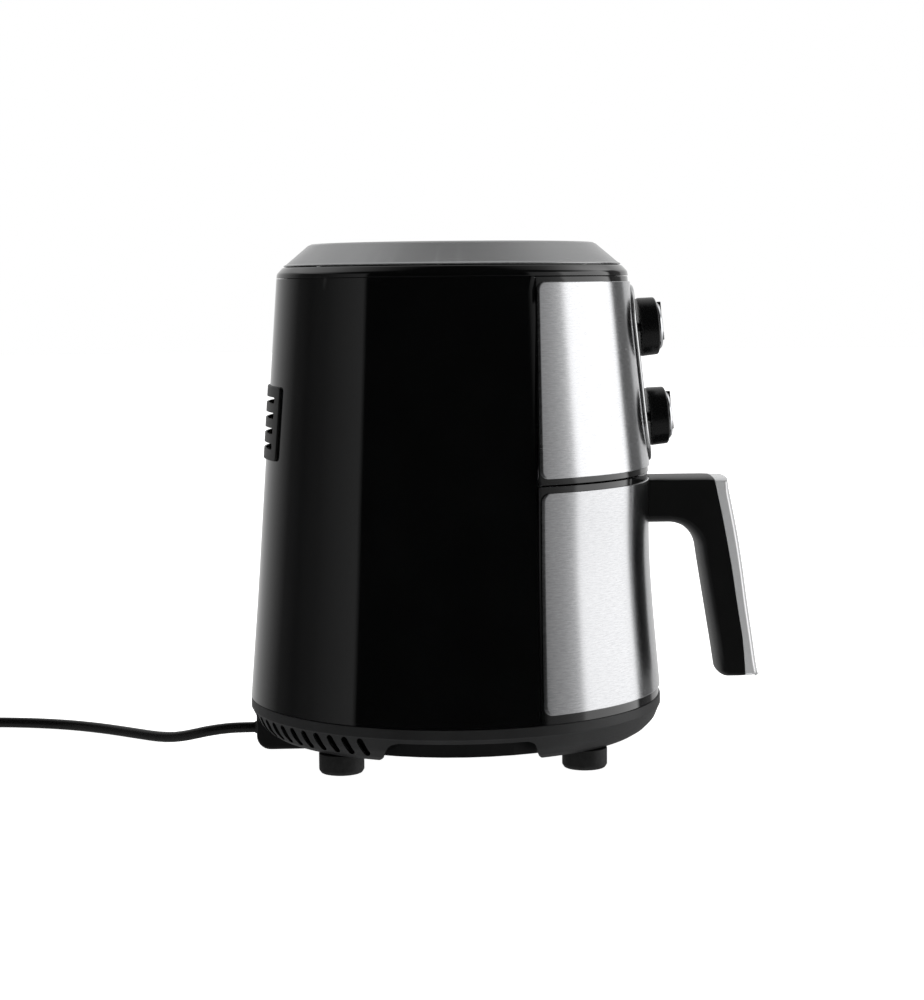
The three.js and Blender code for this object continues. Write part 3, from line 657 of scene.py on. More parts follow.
def eased(value, start, end):
    """Goes smoothly from 0 at start to 1 at end."""
    t = max(0.0, min(1.0, (value - start) / (end - start)))
    return t * t * (3 - 2 * t)


def coil_point(wound):
    """Centre line of the coil after so many turns: an outer turn, an inner turn,
    then up into the groove between them and out over the first one to the plug."""
    radius = 41.5 - 7.1 * eased(wound, 0.66, 1.0)
    radius += 3.55 * eased(wound, 1.80, 2.06) + 6.95 * eased(wound, 2.5, 2.92)
    z = 3.6 + 7.3 * eased(wound, 1.5, 1.84) - 1.1 * eased(wound, 1.92, 2.1)
    z += 1.0 * eased(wound, 2.42, 2.65) - 0.2 * eased(wound, 2.9, 3.0)
    angle = math.pi - 2 * math.pi * wound
    return (COIL_X + radius * math.cos(angle), COIL_Y + radius * math.sin(angle), z)


def cord_points():
    steps = COIL_TURNS * COIL_STEPS
    coil = [coil_point(k / COIL_STEPS) for k in range(steps + 1)]
    lead_out = [(89.3, 386, 10.5), (91.3, 394, 10.2), (93.9, 403, 9.9), (95.3, 412, 9.6)]
    after = smooth_line([coil[-1], *lead_out], 2)[1:]
    return [Vector(p) for p in [*smooth_line(CORD_ROUTE, 2), *coil, *after]]


def add_cord():
    points = [placed(p) for p in cord_points()]
    data = bpy.data.curves.new("power_cord", "CURVE")
    data.dimensions = "3D"
    data.bevel_depth = CORD_RADIUS * MM
    data.bevel_resolution = 6
    data.use_fill_caps = True
    spline = data.splines.new("POLY")
    spline.points.add(len(points) - 1)
    for spot, point in zip(spline.points, points):
        spot.co = (*point, 1)
    spline.use_smooth = True
    lead = bpy.data.objects.new("power_lead", data)
    scene.collection.objects.link(lead)
    finished(lead, "cord_rubber", "housing", "cord_rubber", "power_cord", "cord_coil")
    length = sum((b - a).length for a, b in zip(points, points[1:]))
    return lead, length


def laid_back(x, y, z):
    """Turns a shape made up the axis so that it points to the rear from a spot."""
    return Matrix.Translation((x, y, z)) @ Matrix.Rotation(-math.pi / 2, 4, "X")


def add_plug():
    """A small plug on its side: ribbed relief, gripped body and two flat blades."""
    low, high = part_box("plug")
    x = (low.x + high.x) / 2 / MM
    z = (low.z + high.z) / 2 / MM
    start = (low.y - AXIS_Y) / MM
    along = laid_back(x, start, z)
    relief = [(0, 0, 0), (4.2, 0, 0.6)]
    for k in range(5):
        z0 = 2.4 + 3.4 * k
        r0 = 4.3 + 0.28 * k
        relief += [(r0, z0, 0.3), (r0 - 0.7, z0 + 0.4, 0.2), (r0 - 0.7, z0 + 1.4, 0.2)]
        relief += [(r0 + 0.2, z0 + 1.8, 0.3)]
    relief += [(5.8, 19.6, 0), (5.8, 22, 0), (0, 22, 0)]
    plug = solid_of_revolution(relief, 32, 2).turned(along)
    sections = [  # (distance along, half width, half depth)
        (19.5, 7.5, 6.4), (20.0, 9.6, 7.8), (21.4, 11.2, 8.9), (24.0, 11.8, 9.2),
        (29.0, 11.2, 9.2), (33.0, 10.7, 9.2), (37.0, 10.9, 9.2), (43.0, 11.7, 9.2),
        (48.6, 12.0, 9.2), (50.6, 11.6, 8.9), (51.4, 10.4, 7.9),
    ]
    rows = []
    for z0, width, depth in sections:
        corner = min(width, depth) * 0.55
        line = box_outline((-width, -depth), (width, depth), corner, 6)
        rows.append([(p.x, p.y, z0) for p in line])
    plug.joined(prism(rows).turned(along))
    rib = [(10.4, -5.2), (11.3, -3.0), (11.6, 0), (11.3, 3.0), (10.4, 5.2)]
    for k in range(5):
        for side in (-1, 1):
            path = smooth_line([(side * a, b, 29.0 + 2.6 * k) for a, b in rib], 3)
            plug.joined(tube_shape(path, 0.75, 8).turned(along))
    body = add_piece("plug_body", plug, 40, "cord_rubber", "housing", "cord_rubber", "plug")
    blades = Shape()
    for side in (-6.35, 6.35):
        line = rounded([(-3.15, 50, 0), (3.15, 50, 0), (3.15, 68, 1.6), (-3.15, 68, 1.6)], 5)

        def order(a, b, c, side=side):
            return (side + c, a, b)

        blades.joined(cushion(line, [0.25] * len(line), 0.75, order, 2).turned(along))
    pins = add_piece("plug_blades", blades, 40, "zinc_steel", "housing", "zinc_steel")
    return body, pins


def add_tie():
    """A soft strap round the coil's turns."""
    outer = rounded([
        (29.6, 0.03, 1.5), (46.2, 0.03, 1.5), (46.2, 6.4, 4),
        (40.6, 14.8, 3), (35.4, 14.8, 3), (29.6, 6.2, 4),
    ])
    inner = rounded([
        (30.4, 0.09, 1.2), (45.4, 0.09, 1.2), (45.4, 6.2, 3.4),
        (40.2, 14.0, 2.4), (35.8, 14.0, 2.4), (30.4, 6.0, 3.4),
    ])
    half = 4.5
    levels = [(outer, -half + 0.3), (outer, half - 0.3), (inner, half), (inner, -half)]
    rows = [[(COIL_X + p.x, COIL_Y + across, p.y) for p in line] for line, across in levels]
    shape = Shape()
    shape.add_rows(rows, closed_rows=True, closed_columns=True)
    return add_piece("coil_tie", shape, 45, "foot_rubber", "housing", "foot_rubber")


def add_strain_relief():
    """A tapered, ribbed sleeve where the cord leaves its block."""
    low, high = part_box("strain_relief")
    start = (low.y - AXIS_Y) / MM
    end = (high.y - AXIS_Y) / MM
    corners = [(0, start, 0), (5.9, start, 0.3), (5.9, start + 4, 0.3)]
    ribs = 7
    for k in range(ribs):
        y0 = start + 5 + (end - start - 6) * k / ribs
        radius = 5.4 - 1.3 * k / ribs
        corners += [(radius, y0, 0.2), (radius, y0 + 1.9, 0.2)]
        corners += [(radius - 0.6, y0 + 2.1, 0.1), (radius - 0.6, y0 + 2.7, 0.1)]
    corners += [(4.1, end - 0.8, 0.2), (3.9, end, 0.3), (0, end, 0)]
    z = (low.z + high.z) / 2 / MM
    sleeve = solid_of_revolution(corners, 40, 2).turned(laid_back(0, 0, z))
    look = "foot_rubber"
    add_piece("cord_strain_relief", sleeve, 40, look, "housing", look, "strain_relief")


add_camera()
cord, cord_length = add_cord()
plug_body, plug_blades = add_plug()
coil_tie = add_tie()
add_strain_relief()
tuple(placed(CORD_EXIT))
# The coil is stored out of view, and the gloss body doesn't mirror it back into view.
for piece in (cord, plug_body, plug_blades, coil_tie):
    piece.visible_glossy = False

# ---------- Body profiles, (radius, height) ----------
SPLIT_Y = -44  # front edge of the shell
FRONT_Y = -44.3  # rear edge of the fascia and the drawer front
SHELL_LINE = smooth_line(
    [(134.6, 37), (131.9, 70), (128.7, 109), (124.6, 165), (119, 240), (113.9, 308)], 8
)
CONTROL_LINE = [(128, 182), (127.7, 186), (115, 305), (114.7, 308)]
DRAWER_LINE = smooth_line([(134.6, 37.3), (134.3, 42), (129.5, 97), (127.4, 135), (127.4, 180.9)], 8)
shell_radius = height_lookup([tuple(p) for p in SHELL_LINE])
control_radius = height_lookup(CONTROL_LINE)
drawer_radius = height_lookup([tuple(p) for p in DRAWER_LINE])
SETBACK = 1.1  # from the steel's face back to the fascia's
FASCIA_WALL = 2.4


def moved(line, distance):
    return [(r + distance, z) for r, z in line]


# ---------- Top ----------
def add_top():
    collar = rounded([
        (111.2, 308.3, 0), (113.9, 308.3, 0.3), (113.5, 311.2, 3.2), (109.6, 315.4, 3.0),
        (84, 315.4, 0.3), (84, 313, 0), (107.6, 313, 0),
    ], 8)
    ring = rounded([
        (105.4, 315.7, 0), (109.1, 315.7, 0.4), (109.1, 316.4, 0.3), (107.3, 317.24, 0.2),
        (93.2, 329.1, 1.4), (91.2, 330, 1.0), (88.6, 330, 0.4), (88.6, 328, 0),
    ], 6)
    cover = [
        (0, 329.6, 0), (69.6, 329.55, 0.3), (70.0, 328.9, 0.2), (71.4, 328.9, 0.2),
        (71.8, 329.5, 0.3), (85.5, 329.3, 2.0), (88.1, 328.3, 1.0), (88.1, 316.0, 0),
        (86.0, 316.0, 0), (86.0, 327.0, 0), (0, 327.0, 0),
    ]
    for name, shape, look, node in [
        ("shoulder", turned_shape(collar, 256), "gloss_black", "shoulder_collar"),
        ("top_trim_ring", turned_shape(ring, 256), "silver_grey", "top_ring"),
        ("lid_cover", solid_of_revolution(cover, 200), "gloss_black", "top_cover"),
    ]:
        add_piece(name, shape, 30, look, "housing", look, node)


# ---------- Shell and vent ----------
VENT_HALF, VENT_BOTTOM, VENT_TOP, VENT_SLOTS = 44, 193, 240, 4
LOUVRE = [(0, 2.6), (0.9, 2.9), (6.5, -1.6), (5.8, -2.4)]  # (inward, up) from a slot's middle


def add_shell():
    profile = [*SHELL_LINE, *[(r - 2.5, z) for r, z in reversed(SHELL_LINE)]]
    shell = mesh_object("rear_shell", turned_shape(profile, 200, SPLIT_Y, front=False), 30)
    cut(shell, box_shape((-41, 60, VENT_BOTTOM + 3), (41, 140, VENT_TOP - 3)))
    bevelled(shell, 0.45)
    finished(shell, "gloss_black", "housing", "gloss_black", "outer_shell")


def add_vent():
    """The rear vent's frame with its slots, and the sloping louvres behind them."""
    corner = 3.0

    def half_angle(z):
        edge = VENT_HALF - corner_pull(z, VENT_BOTTOM, VENT_TOP, corner)
        return math.asin(edge / shell_radius(z))

    heights = corner_heights(VENT_BOTTOM, VENT_TOP, corner, 20)
    frame_shape = wrapped_shape(
        lambda z: shell_radius(z) + 1.5, heights, half_angle, thickness=1.2, edge=0.5, columns=60
    )
    frame_shape.turned(Matrix.Rotation(math.pi, 4, "Z"))
    frame_shape.uvs = {}
    grille = mesh_object("vent_grille", frame_shape, 35)
    slots = Shape()
    louvres = Shape()
    pitch = (VENT_TOP - VENT_BOTTOM - 8) / VENT_SLOTS
    for k in range(VENT_SLOTS):
        centre = VENT_BOTTOM + 4 + (k + 0.5) * pitch
        line = box_outline((-36, centre - 2), (36, centre + 2), 1.9)
        slots.joined(prism([[(p.x, y, p.y) for p in line] for y in (60, 140)]))
        rows = []
        for j in range(25):
            x = -37 + 74 * j / 24
            y = math.sqrt((shell_radius(centre) - 1.0) ** 2 - x * x)
            rows.append([(x, y - inward, centre + up) for inward, up in LOUVRE])
        louvres.joined(prism(rows))
    cut(grille, slots)
    bevelled(grille, 0.35, 2)
    finished(grille, "satin_black", "housing", "satin_black", "rear_vent_grille")
    add_piece("vent_louvres", louvres, 40, "satin_black", "housing", "satin_black")


# ---------- Front: fascia, drawer front and steel panels ----------
def add_fascias():
    outer = moved(CONTROL_LINE, -SETBACK)
    inner = moved(reversed(CONTROL_LINE), -SETBACK - FASCIA_WALL)[:-1]
    control = [*outer, *inner, (124.2, 184.4), (110, 184.4), (110, 182)]
    outer = moved(DRAWER_LINE, -SETBACK)
    inner = moved(reversed(DRAWER_LINE), -SETBACK - FASCIA_WALL)
    inner = [p for p in inner if 39.6 < p[1] < 178.5]
    top = [(104, 180.9), (104, 178.5), (123.9, 178.5)]
    drawer = [*outer, *top, *inner, (130.8, 39.6), (104, 39.6), (104, 37.3)]
    for name, profile, body, node in [
        ("control_front", control, "housing", "control_fascia"),
        ("drawer_fascia", drawer, "drawer", "drawer_front"),
    ]:
        thing = mesh_object(name, turned_shape(profile, 140, FRONT_Y), 30)
        bevelled(thing, 0.4)
        finished(thing, "gloss_black", body, "gloss_black", node)


def add_steel(name, node, body, look, radius_at, bottom, top, edge_y, corner):
    def half_angle(z):
        edge = edge_y - corner_pull(z, bottom, top, corner)
        return math.acos(-edge / radius_at(z))

    heights = corner_heights(bottom, top, corner, 30)
    shape = wrapped_shape(radius_at, heights, half_angle, thickness=0.8, edge=0.35, columns=150)
    finished(mesh_object(name, shape, 40, 0.002), look, body, "front_steel", node)


# ---------- Dials ----------
DIAL_TILT = math.radians(4.6)
PLATE_PROUD = 2.1  # how far the curved dial plate stands out from the steel
DIALS = {"timer": 274.3, "temperature": 215.8}  # heights
KNOB_RADIUS = 19.1


def on_panel(height):
    """Puts a shape made round a dial's axis, +Z outward and +Y up the panel, onto the front."""
    radius = control_radius(height) - SETBACK
    turn = Matrix.Rotation(math.pi / 2 - DIAL_TILT, 4, "X")
    return Matrix.Translation((0, -radius, height)) @ turn


def on_curve(point, height):
    """Lays a point, given as (across, up, depth) from a dial's middle, on the curved front."""
    across, up, depth = point
    z = height + up
    radius = control_radius(z) + depth
    return Vector((across, -math.sqrt(radius**2 - across**2), z))


def add_dial_plate():
    """One curved plate behind both knobs, with a softly rounded edge."""
    spacing = DIALS["timer"] - DIALS["temperature"]
    radius = 28.5
    arc = [math.pi * k / 48 for k in range(49)]
    side = [spacing * k / 16 for k in range(1, 16)]
    path = [(angle, 0) for angle in arc]  # (direction outward, height of the arc's centre)
    path += [(math.pi, -down) for down in side]
    path += [(math.pi + angle, -spacing) for angle in arc]
    path += [(0, up - spacing) for up in side]
    normals = [Vector((-math.cos(angle), -math.sin(angle))) for angle, _ in path]
    line = [Vector((0, middle)) - n * radius for n, (_, middle) in zip(normals, path)]
    edge = 1.5
    levels = [(0.5, 0.2), (0.5, 0.5), (0, 0.5)]  # (distance in from the rim, depth)
    for k in range(8):
        turn = math.pi / 2 * k / 7
        levels.append((edge * (1 - math.cos(turn)), PLATE_PROUD - edge * (1 - math.sin(turn))))
    levels += [(inset, PLATE_PROUD) for inset in (4, 8, 13, 18, 23, 27, radius)]
    rows = []
    for inset, depth in levels:
        points = [p + n * inset for p, n in zip(line, normals)]
        rows.append([on_curve((*p, depth), DIALS["timer"]) for p in points])
    shape = Shape()
    index = shape.add_rows(rows, closed_columns=True)
    shape.add_cap(reversed(index[0]))
    add_piece("dial_surround", shape, 35, "silver_plate", "housing", "silver_grey", "dial_plate")


def flat_text(text, size):
    """Points and faces of a generic numeral, centred on the origin."""
    data = bpy.data.curves.new("numeral", "FONT")
    data.body = text
    data.size = size
    data.align_x = "CENTER"
    data.align_y = "CENTER"
    data.extrude = 0.06
    data.resolution_u = 3
    thing = bpy.data.objects.new("numeral", data)
    scene.collection.objects.link(thing)
    graph = bpy.context.evaluated_depsgraph_get()
    mesh = bpy.data.meshes.new_from_object(thing.evaluated_get(graph))
    shape = Shape()
    shape.points = [v.co.copy() for v in mesh.vertices]
    shape.faces = [tuple(p.vertices) for p in mesh.polygons]
    bpy.data.objects.remove(thing)
    bpy.data.meshes.remove(mesh)
    return shape


def add_dial_marks():
    """Printed scales: minutes round the timer, degrees round the thermostat."""
    scales = {
        "timer": (["0", "5", "10", "15", "20", "25", "30"], 31),
        "temperature": (["80", "110", "140", "160", "180", "200"], 26),
    }
    sweep = math.radians(270)
    base = PLATE_PROUD - 0.02
    inner = KNOB_RADIUS + 0.9
    for use, (labels, ticks) in scales.items():
        marks = Shape()
        for k in range(ticks):
            long = k % 5 == 0
            reach, width = (1.7, 0.25) if long else (1.0, 0.16)
            tick = box_shape((-width, inner, base), (width, inner + reach, base + 0.08))
            turn = Matrix.Rotation(-sweep * k / (ticks - 1), 4, "Z")
            marks.joined(tick.turned(turn))
        for k, label in enumerate(labels):
            turn = Matrix.Rotation(-sweep * k / (len(labels) - 1), 4, "Z")
            spot = turn @ Vector((0, inner + 3.6, base + 0.04))
            marks.joined(flat_text(label, 2.9).turned(Matrix.Translation(spot)))
        marks.points = [on_curve(p, DIALS[use]) for p in marks.points]
        thing = mesh_object(use + "_scale", marks, 30, 0.0005)
        finished(thing, "dial_print", "housing", "satin_black")


def add_knobs():
    knob = [
        (0, 13, 0), (3.3, 13, 0), (3.3, 4.2, 0), (18.6, 4.2, 0.5), (19.1, 5.6, 0.7),
        (18.7, 16.2, 3.2), (16.2, 16.4, 0.4), (16.0, 15.2, 0), (0, 15.2, 0),
    ]
    cap = [
        (0, 15.6, 0), (15.6, 15.6, 0.2), (15.6, 17.3, 0.5),
        (14.5, 18.7, 1.5), (8, 19.9, 12), (0, 20.6, 0),
    ]
    bars = [(5.4, 15.4, 16.3, 20.4), (-9.6, -4.2, 18.6, 21.0)]  # ends up the cap, then heights
    for use, height in DIALS.items():
        place = on_panel(height)
        pointer = Shape()
        for start, end, low, high in bars:
            line = box_outline((-1.5, start), (1.5, end), 0.6, 4)

            def order(a, b, c, middle=(high + low) / 2):
                return (a, b, middle + c)

            pointer.joined(cushion(line, [0.4] * len(line), (high - low) / 2, order, 3))
        for name, shape, sharp, look, slot, node in [
            ("_grip", solid_of_revolution(knob, 128, 6), 35, "knob_black", "gloss_black", "_knob"),
            ("_cap", solid_of_revolution(cap, 128, 8), 35, "chrome", "chrome", "_knob_cap"),
            ("_pointer", pointer, 40, "satin_black", "satin_black", "_knob_pointer"),
        ]:
            add_piece(use + name, shape.turned(place), sharp, look, use + "_dial", slot, use + node)


# ---------- Handle ----------
HANDLE_HALF = 21
TRIM_INNER = [(-168, 177.6), (-173.4, 153), (-179.4, 121), (-183.6, 93.5), (-187.4, 69), (-189.3, 44.2)]
TRIM_OUTER = [
    (-179.4, 173), (-182.6, 158), (-186.1, 140), (-189.3, 120), (-192.9, 93.5), (-195.8, 74),
    (-198.2, 57), (-199.8, 46.7),
]
HANDLE_TOP, ARM_BOTTOM, GRIP_BOTTOM = 177.6, 146.9, 44.2
ARM_CORNER_Y, ARM_CORNER_RADIUS = -140.2, 20


def averaged(values, times):
    """Evens out a list that runs round a closed outline."""
    for _ in range(times):
        count = len(values)
        values = [(values[i - 1] + 2 * values[i] + values[(i + 1) % count]) / 4 for i in range(count)]
    return values


def handle_shape():
    """Arm, grip and front strip in one: a slab whose edges are crowned all the way across."""
    outline = []
    radii = []

    def put(points, radius):
        outline.extend(Vector(p) for p in points)
        radii.extend([radius] * len(points))

    put([(-90 - 8.3 * k, HANDLE_TOP) for k in range(10)], 2.4)
    corner = [(-170, HANDLE_TOP, 0), (-179.0, 177.0, 3.0), (-179.4, 173, 0)]
    put(rounded(corner, 6, closed=False)[1:-1], 3.0)
    put(smooth_line(TRIM_OUTER, 5)[1:-1], 5.0)
    corner = [(-198.2, 57, 0), (-200.1, 44.8, 1.2), (-186, GRIP_BOTTOM, 0)]
    put(rounded(corner, 4, closed=False)[1:-1], 3.5)
    put([(-192, 44.4), (-186, GRIP_BOTTOM)], 3.0)
    corner = [(-184, GRIP_BOTTOM, 0), (-173.8, GRIP_BOTTOM, 8), (-170.9, 62.0, 0)]
    put(rounded(corner, 10, closed=False)[1:-1], 4.0)
    put([(-171.2 + 11.4 * k / 69.2, 61.0 + k) for k in range(1, 65, 4)], 4.5)
    for k in range(17):
        angle = math.radians(170.6 - 80.6 * k / 16)
        across = ARM_CORNER_RADIUS * math.cos(angle)
        up = ARM_CORNER_RADIUS * math.sin(angle)
        put([(ARM_CORNER_Y + across, ARM_BOTTOM - ARM_CORNER_RADIUS + up)], 5.0)
    put([(-134 + 4.4 * k, ARM_BOTTOM) for k in range(11)], 5.5)
    radii = [radii[0], *averaged(radii, 4)[1:-1], radii[-1]]
    crown = [19.0] * len(radii)
    return cushion(outline, radii, HANDLE_HALF, lambda a, b, c: (c, a, b), 14, 3, crown)


def add_handle():
    curve = smooth_line([(-165, 190), *TRIM_INNER, (-190, 30)], 6)
    levels = [135 + 5 * k for k in range(11)]
    profile = [(0, 135, 0), *[(drawer_radius(z) + 0.1, z, 0) for z in levels], (0, 185, 0)]
    front = solid_of_revolution(profile, 360)
    for name, gap, beyond, look, slot, node in [
        ("pull_handle", 0.0, -240, "handle_black", "satin_black", "handle"),
        ("handle_facing", -0.35, -60, "silver_trim", "silver_grey", "handle_trim"),
    ]:
        thing = mesh_object(name, handle_shape(), 50)
        line = [(beyond, 30), (beyond, 190), *[(y + gap, z) for y, z in curve]]
        cut(thing, front, 50)
        cut(thing, prism([[(x, *p) for p in line] for x in (-40, 40)]), 50)
        bevelled(thing, 0.25, 2, 45)
        finished(thing, look, "drawer", slot, node)


# ---------- Base, feet and cord block ----------
ARCH_LINE = [
    (-49, 12.5), (-46, 13.9), (-43.4, 17), (-42, 22), (-40, 25.8), (-36, 27.5), (42.5, 27.5),
    (47.5, 25.6), (50.2, 21.5), (51.2, 16.8), (53.4, 14), (56.5, 12.5),
]
SLOT_FIRST, SLOT_LAST, SLOT_COUNT = 29, 82, 12  # degrees round from the side
SLOT_RADIUS, SLOT_Z, SLOT_LEAN, SLOT_FOLLOW = 131, 23.3, 24, 0.45


def slanted_slot(turn, side):
    """A leaning slot with round ends, cut partly sideways so that it can be looked into."""
    line = box_outline((-2.2, -6.4), (2.2, 6.4), 2.1)
    slot = prism([[(x, *p) for p in line] for x in (-17, 17)])
    heading = turn * SLOT_FOLLOW if side > 0 else 180 - turn * SLOT_FOLLOW
    spot = math.radians(turn)
    place = (side * SLOT_RADIUS * math.cos(spot), SLOT_RADIUS * math.sin(spot), SLOT_Z)
    lean = Matrix.Rotation(math.radians(-side * SLOT_LEAN), 4, "X")
    facing = Matrix.Rotation(math.radians(heading), 4, "Z")
    return slot.turned(Matrix.Translation(place) @ facing @ lean)


def block_space(half):
    """Room for the cord block at the rear of the base."""
    return box_shape((-half, 60, -1), (half, 160, 27.3))


def add_skirt():
    profile = rounded([
        (120.5, 13.5, 1.2), (126, 16.8, 6), (131, 22, 9), (134.0, 29.4, 3), (134.6, 30.4, 0.5),
        (134.5, 36.6, 0.6), (100, 36.6, 0), (100, 34.5, 0), (131.9, 34.5, 0), (131.9, 30.2, 0),
        (128.9, 23.2, 0), (119.2, 15.2, 0),
    ])
    skirt = mesh_object("base_skirt_moulding", turned_shape(profile, 240), 30)
    curve = [*smooth_line(ARCH_LINE[:6], 4), *smooth_line(ARCH_LINE[6:], 4)]
    arch = [(56.5, -5), *reversed(curve), (-49, -5)]
    tools = Shape()
    for side in (-1, 1):
        tools.joined(prism([[(x, *p) for p in arch] for x in sorted((side * 92, side * 160))]))
        for k in range(SLOT_COUNT):
            turn = SLOT_FIRST + (SLOT_LAST - SLOT_FIRST) * k / (SLOT_COUNT - 1)
            tools.joined(slanted_slot(turn, side))
    tools.joined(block_space(22.3))
    cut(skirt, tools)
    bevelled(skirt, 0.35, 2, 40)
    finished(skirt, "base_grey", "housing", "base_grey", "base_skirt")

    # A ledge behind the rear slots closes the view down through them.
    ledge = [(112.4, 15.4), (119.0, 15.4), (119.0, 16.4), (112.4, 16.4)]
    backing = mesh_object("slot_backing", turned_shape(ledge, 120, 58, front=False), 30)
    cut(backing, block_space(22.4))
    bevelled(backing, 0.15, 2)
    finished(backing, "satin_black", "housing", "satin_black")


def add_feet():
    foot = [
        (0, 0, 0), (12.8, 0, 1.5), (14.2, 2.2, 1.8), (14.2, 12.7, 0.5), (10, 13.1, 0.2),
        (10, 14.7, 0), (0, 14.7, 0),
    ]
    for node in sorted(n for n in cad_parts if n.startswith("foot_")):
        low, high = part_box(node)
        middle = (low + high) / 2
        spot = Matrix.Translation((middle.x / MM, (middle.y - AXIS_Y) / MM, 0))
        shape = solid_of_revolution(foot, 72).turned(spot)
        add_piece("rubber_" + node, shape, 30, "foot_rubber", "housing", "foot_rubber", node)


def add_cord_block():
    line = rounded([
        (98, 14.5, 0.6), (98, 3.7, 2.5), (131, 3.7, 9.0),
        (131, 27, 0.8), (112.8, 27, 0), (112.8, 14.5, 0),
    ], 7)
    shape = cushion(line, [1.6] * len(line), 22, lambda a, b, c: (c, a, b), 4, 5)
    block = mesh_object("cord_outlet", shape, 30)
    bore = [(6.4 * math.cos(a), CORD_EXIT[2] + 6.4 * math.sin(a)) for a in circle(40)]
    cut(block, prism([[(x, y, z) for x, z in bore] for y in (90, 140)]))
    finished(block, "satin_black", "housing", "satin_black", "cord_block")


# ---------- Pan and crisper plate ----------
def add_pan():
    corners = [
        (0, 45.5, 0), (89.0, 45.5, 7), (95.5, 53.6, 7), (97.5, 138.6, 1.2), (98.4, 140, 0.6),
        (101.7, 140, 0.6), (101.9, 138.2, 0.5), (99.2, 138.0, 0.5), (97.1, 53.0, 8),
        (89.6, 44, 8), (0, 44, 0),
    ]
    shape = solid_of_revolution(corners, 144)
    add_piece("frying_pan_basket", shape, 30, "nonstick", "drawer", "nonstick", "pan")


def ring_slot(inner, outer, half_angle, middle):
    """A curved slot tool between two radii."""
    corner = min(3.4, (outer - inner) / 2 - 0.1)
    mean = (inner + outer) / 2
    line = box_outline((-mean * half_angle, inner), (mean * half_angle, outer), corner)
    dense = finer([*line, line[0]])
    return prism([[polar(p.y, middle + p.x / mean, z) for p in dense] for z in (58, 64)])


def add_crisper():
    corners = [
        (0, 60, 0), (91.2, 60, 0.5), (92, 60.6, 0.4), (91.6, 61.9, 0.5), (89.8, 61.5, 0.8),
        (0, 61.5, 0),
    ]
    plate = mesh_object("crisper_tray", solid_of_revolution(corners, 144), 30)
    tools = Shape()
    for inner, outer, count, land in [(26, 34, 6, 8), (48, 56, 8, 10), (68, 76, 12, 9)]:
        half = math.pi / count - land / inner / 2
        for k in range(count):
            tools.joined(ring_slot(inner, outer, half, 2 * math.pi * (k + 0.5) / count))
    cut(plate, tools)
    bevelled(plate, 0.25, 2)
    finished(plate, "nonstick", "crisper", "nonstick", "crisper_plate")
    loop = rounded([(-15, 60.8, 0), (-15, 81.5, 7), (15, 81.5, 7), (15, 60.8, 0)], 8, closed=False)
    path = [(0, *p) for p in [*finer(loop), loop[-1]]]
    add_piece("crisper_lift_loop", tube_shape(path, 1.8, 16), 40, "nonstick", "crisper", "nonstick")


# ---------- CAD nodes that stay ----------
KEPT = {
    "bare_aluminium": ["cavity_liner", "heat_dome", "convection_fan"],
    "zinc_steel": [
        "pan_rail_left", "pan_rail_right", "motor", "motor_shaft", "motor_bracket", "handle_screw_1",
        "handle_screw_2", "timer_shaft", "temperature_shaft", "element_guard",
    ],
    "element_steel": ["heating_element"],
    "satin_black": [
        "base_pan", "pan_bracket", "drawer_switch_tab", "air_duct", "cooling_fan", "switch_plunger",
    ],
    "white_plastic": [
        "timer_unit", "thermostat_unit", "safety_switch", "terminal_block", "thermal_fuse",
    ],
    "bell_brass": ["timer_bell"],
    "silicone": [f"crisper_bumper_{k}" for k in (1, 2, 3, 4)],
}


def dress_kept_nodes():
    for look, names in KEPT.items():
        for name in names:
            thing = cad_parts[name]
            thing.data.materials.clear()
            thing.data.materials.append(LOOKS[look])


add_top()
add_shell()
add_vent()
add_fascias()
for row in [
    ("control_steel", "control_steel_panel", "housing", "upper_steel", control_radius,
     185.8, 304.6, -45.2, 5),
    # The drawer's steel is the darker copy of the same steel, painted shade.
    ("drawer_steel", "drawer_steel_panel", "drawer", "shaded_lower_steel", drawer_radius,
     42.1, 177.1, -46.2, 5.5),
]:
    add_steel(*row)
add_dial_plate()
add_dial_marks()
add_knobs()
add_handle()
add_skirt()
add_feet()
add_cord_block()
add_pan()
add_crisper()
dress_kept_nodes()


# ---------- Floor and light ----------
def add_floor():
    radii = (200, 1000, 3000, 9000)
    rows = [[(r * math.cos(a), r * math.sin(a), 0) for a in circle(96)] for r in radii]
    shape = Shape()
    index = shape.add_rows(rows, closed_columns=True)
    shape.add_cap(index[0])
    floor = mesh_object("floor", shape)
    if floor.data.polygons[0].normal.z < 0:
        floor.data.flip_normals()
    look = Look("pale_floor", IOR=1.4, Emission_Color=(1, 1, 1, 1), Emission_Strength=1.0)
    look.colour(look.noise(6, 3), (0.80, 0.80, 0.80), (0.84, 0.84, 0.84))
    look.roughness(look.noise(40, 2), 0.5, 0.6)
    floor.data.materials.append(look.material)
    floor.visible_glossy = False


# Light from all round as (degrees from straight behind the first camera, brightness):
# positive is towards the front of the appliance
AROUND = [
    (-180, 0.90), (-172, 0.65), (-158, 0.50), (-138, 0.28), (-120, 0.07), (-106, 0.045), (-90, 0.09),
    (-62, 0.26), (-59, 0.004), (46, 0.004), (49, 0.25), (60, 0.35), (70, 0.56), (73.5, 1.40),
    (117.5, 1.40), (121, 0.09), (138, 0.13), (142, 0.50), (160, 0.65), (180, 0.80),
]


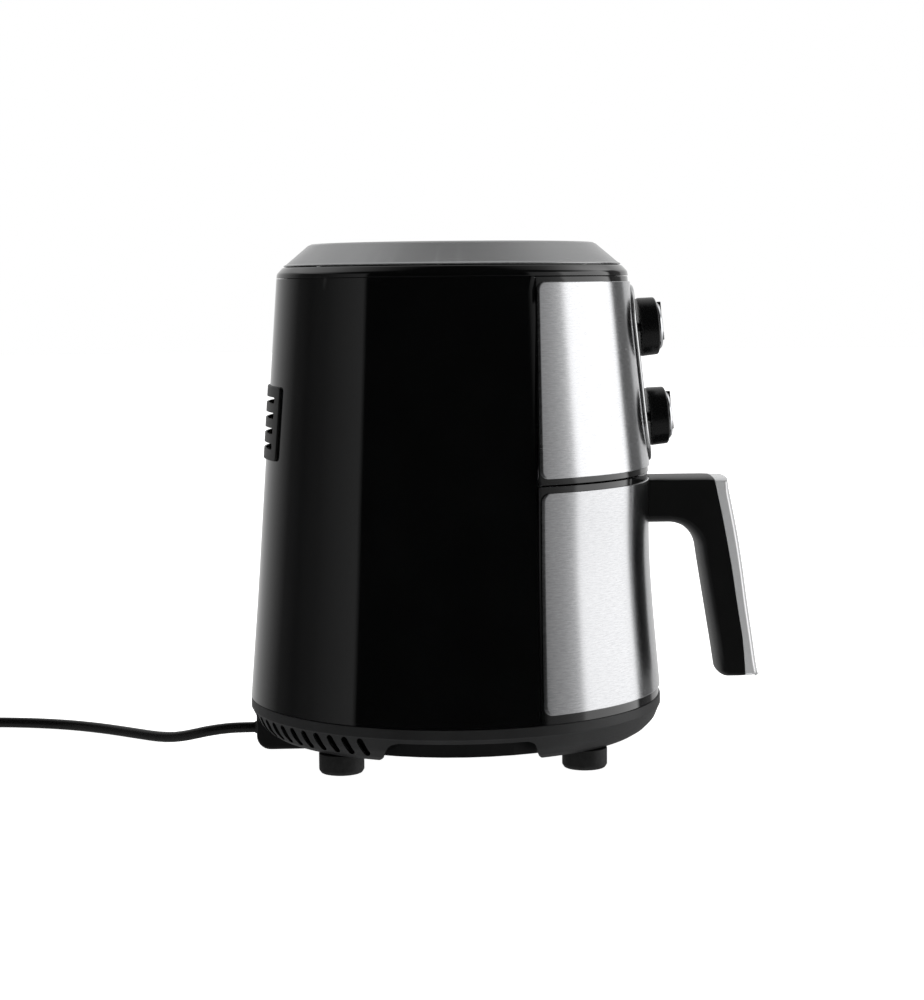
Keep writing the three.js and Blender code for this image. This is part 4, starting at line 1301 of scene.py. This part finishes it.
def add_world():
    """Plain white for the camera; light and dark zones for reflections and for light."""
    world = bpy.data.worlds.new("studio")
    scene.world = world
    world.use_nodes = True
    nodes = Nodes(world.node_tree)
    nodes.tree.nodes.clear()

    def mixed(share, first, second):
        made = nodes.node("Mix", share, settings={"data_type": "RGBA"})
        colours = [socket for socket in made.inputs if socket.type == "RGBA"]
        for socket, value in zip(colours, (first, second)):
            nodes.fill(socket, value)
        return next(socket for socket in made.outputs if socket.type == "RGBA")

    direction = nodes.node("TexCoord").outputs["Generated"]
    x, y, z = nodes.node("SeparateXYZ", direction).outputs
    angle = nodes.maths("ARCTAN2", nodes.maths("MULTIPLY", y, -1.0), nodes.maths("MULTIPLY", x, -1.0))
    ramp = nodes.node("ValToRGB", nodes.maths("MULTIPLY_ADD", angle, 0.5 / math.pi, 0.5))
    elements = ramp.color_ramp.elements
    while len(elements) < len(AROUND):
        elements.new(0.5)
    for element, (degrees, level) in zip(elements, AROUND):
        element.position = 0.5 + degrees / 360
        element.color = (level / 2, level / 2, level / 2, 1)
    beyond = nodes.spread(x, 0.01, 0.42, -0.02, 0.45)
    frontal = nodes.spread(y, 1.30, 0.70, -0.60, -0.50)
    sky = nodes.maths("MULTIPLY", beyond, frontal)
    ground = nodes.maths("MULTIPLY", frontal, 0.16)
    upper = mixed(nodes.spread(z, 0.0, 1.0, 0.36, 0.46), ramp.outputs["Color"], sky)
    whole = mixed(nodes.spread(z, 0.0, 1.0, -0.15, -0.45), upper, ground)
    studio = nodes.node("Background", whole, 2.0).outputs[0]
    plain = nodes.node("Background", (1, 1, 1, 1), 1.0).outputs[0]
    seen = nodes.node("LightPath").outputs["Is Camera Ray"]
    nodes.node("OutputWorld", nodes.node("MixShader", seen, studio, plain).outputs[0])


def add_overhead_light():
    data = bpy.data.lights.new("overhead", "AREA")
    data.shape = "RECTANGLE"
    data.size = data.size_y = 1.8
    data.energy = 28
    light = bpy.data.objects.new("overhead", data)
    light.location = (0.5, -0.5, 2.4)
    aim = Vector((0, 0, 0.15)) - light.location
    light.rotation_mode = "QUATERNION"
    light.rotation_quaternion = aim.to_track_quat("-Z", "Y")
    light.visible_glossy = False
    scene.collection.objects.link(light)


add_floor()
add_world()
add_overhead_light()
scene.view_settings.view_transform = "Standard"
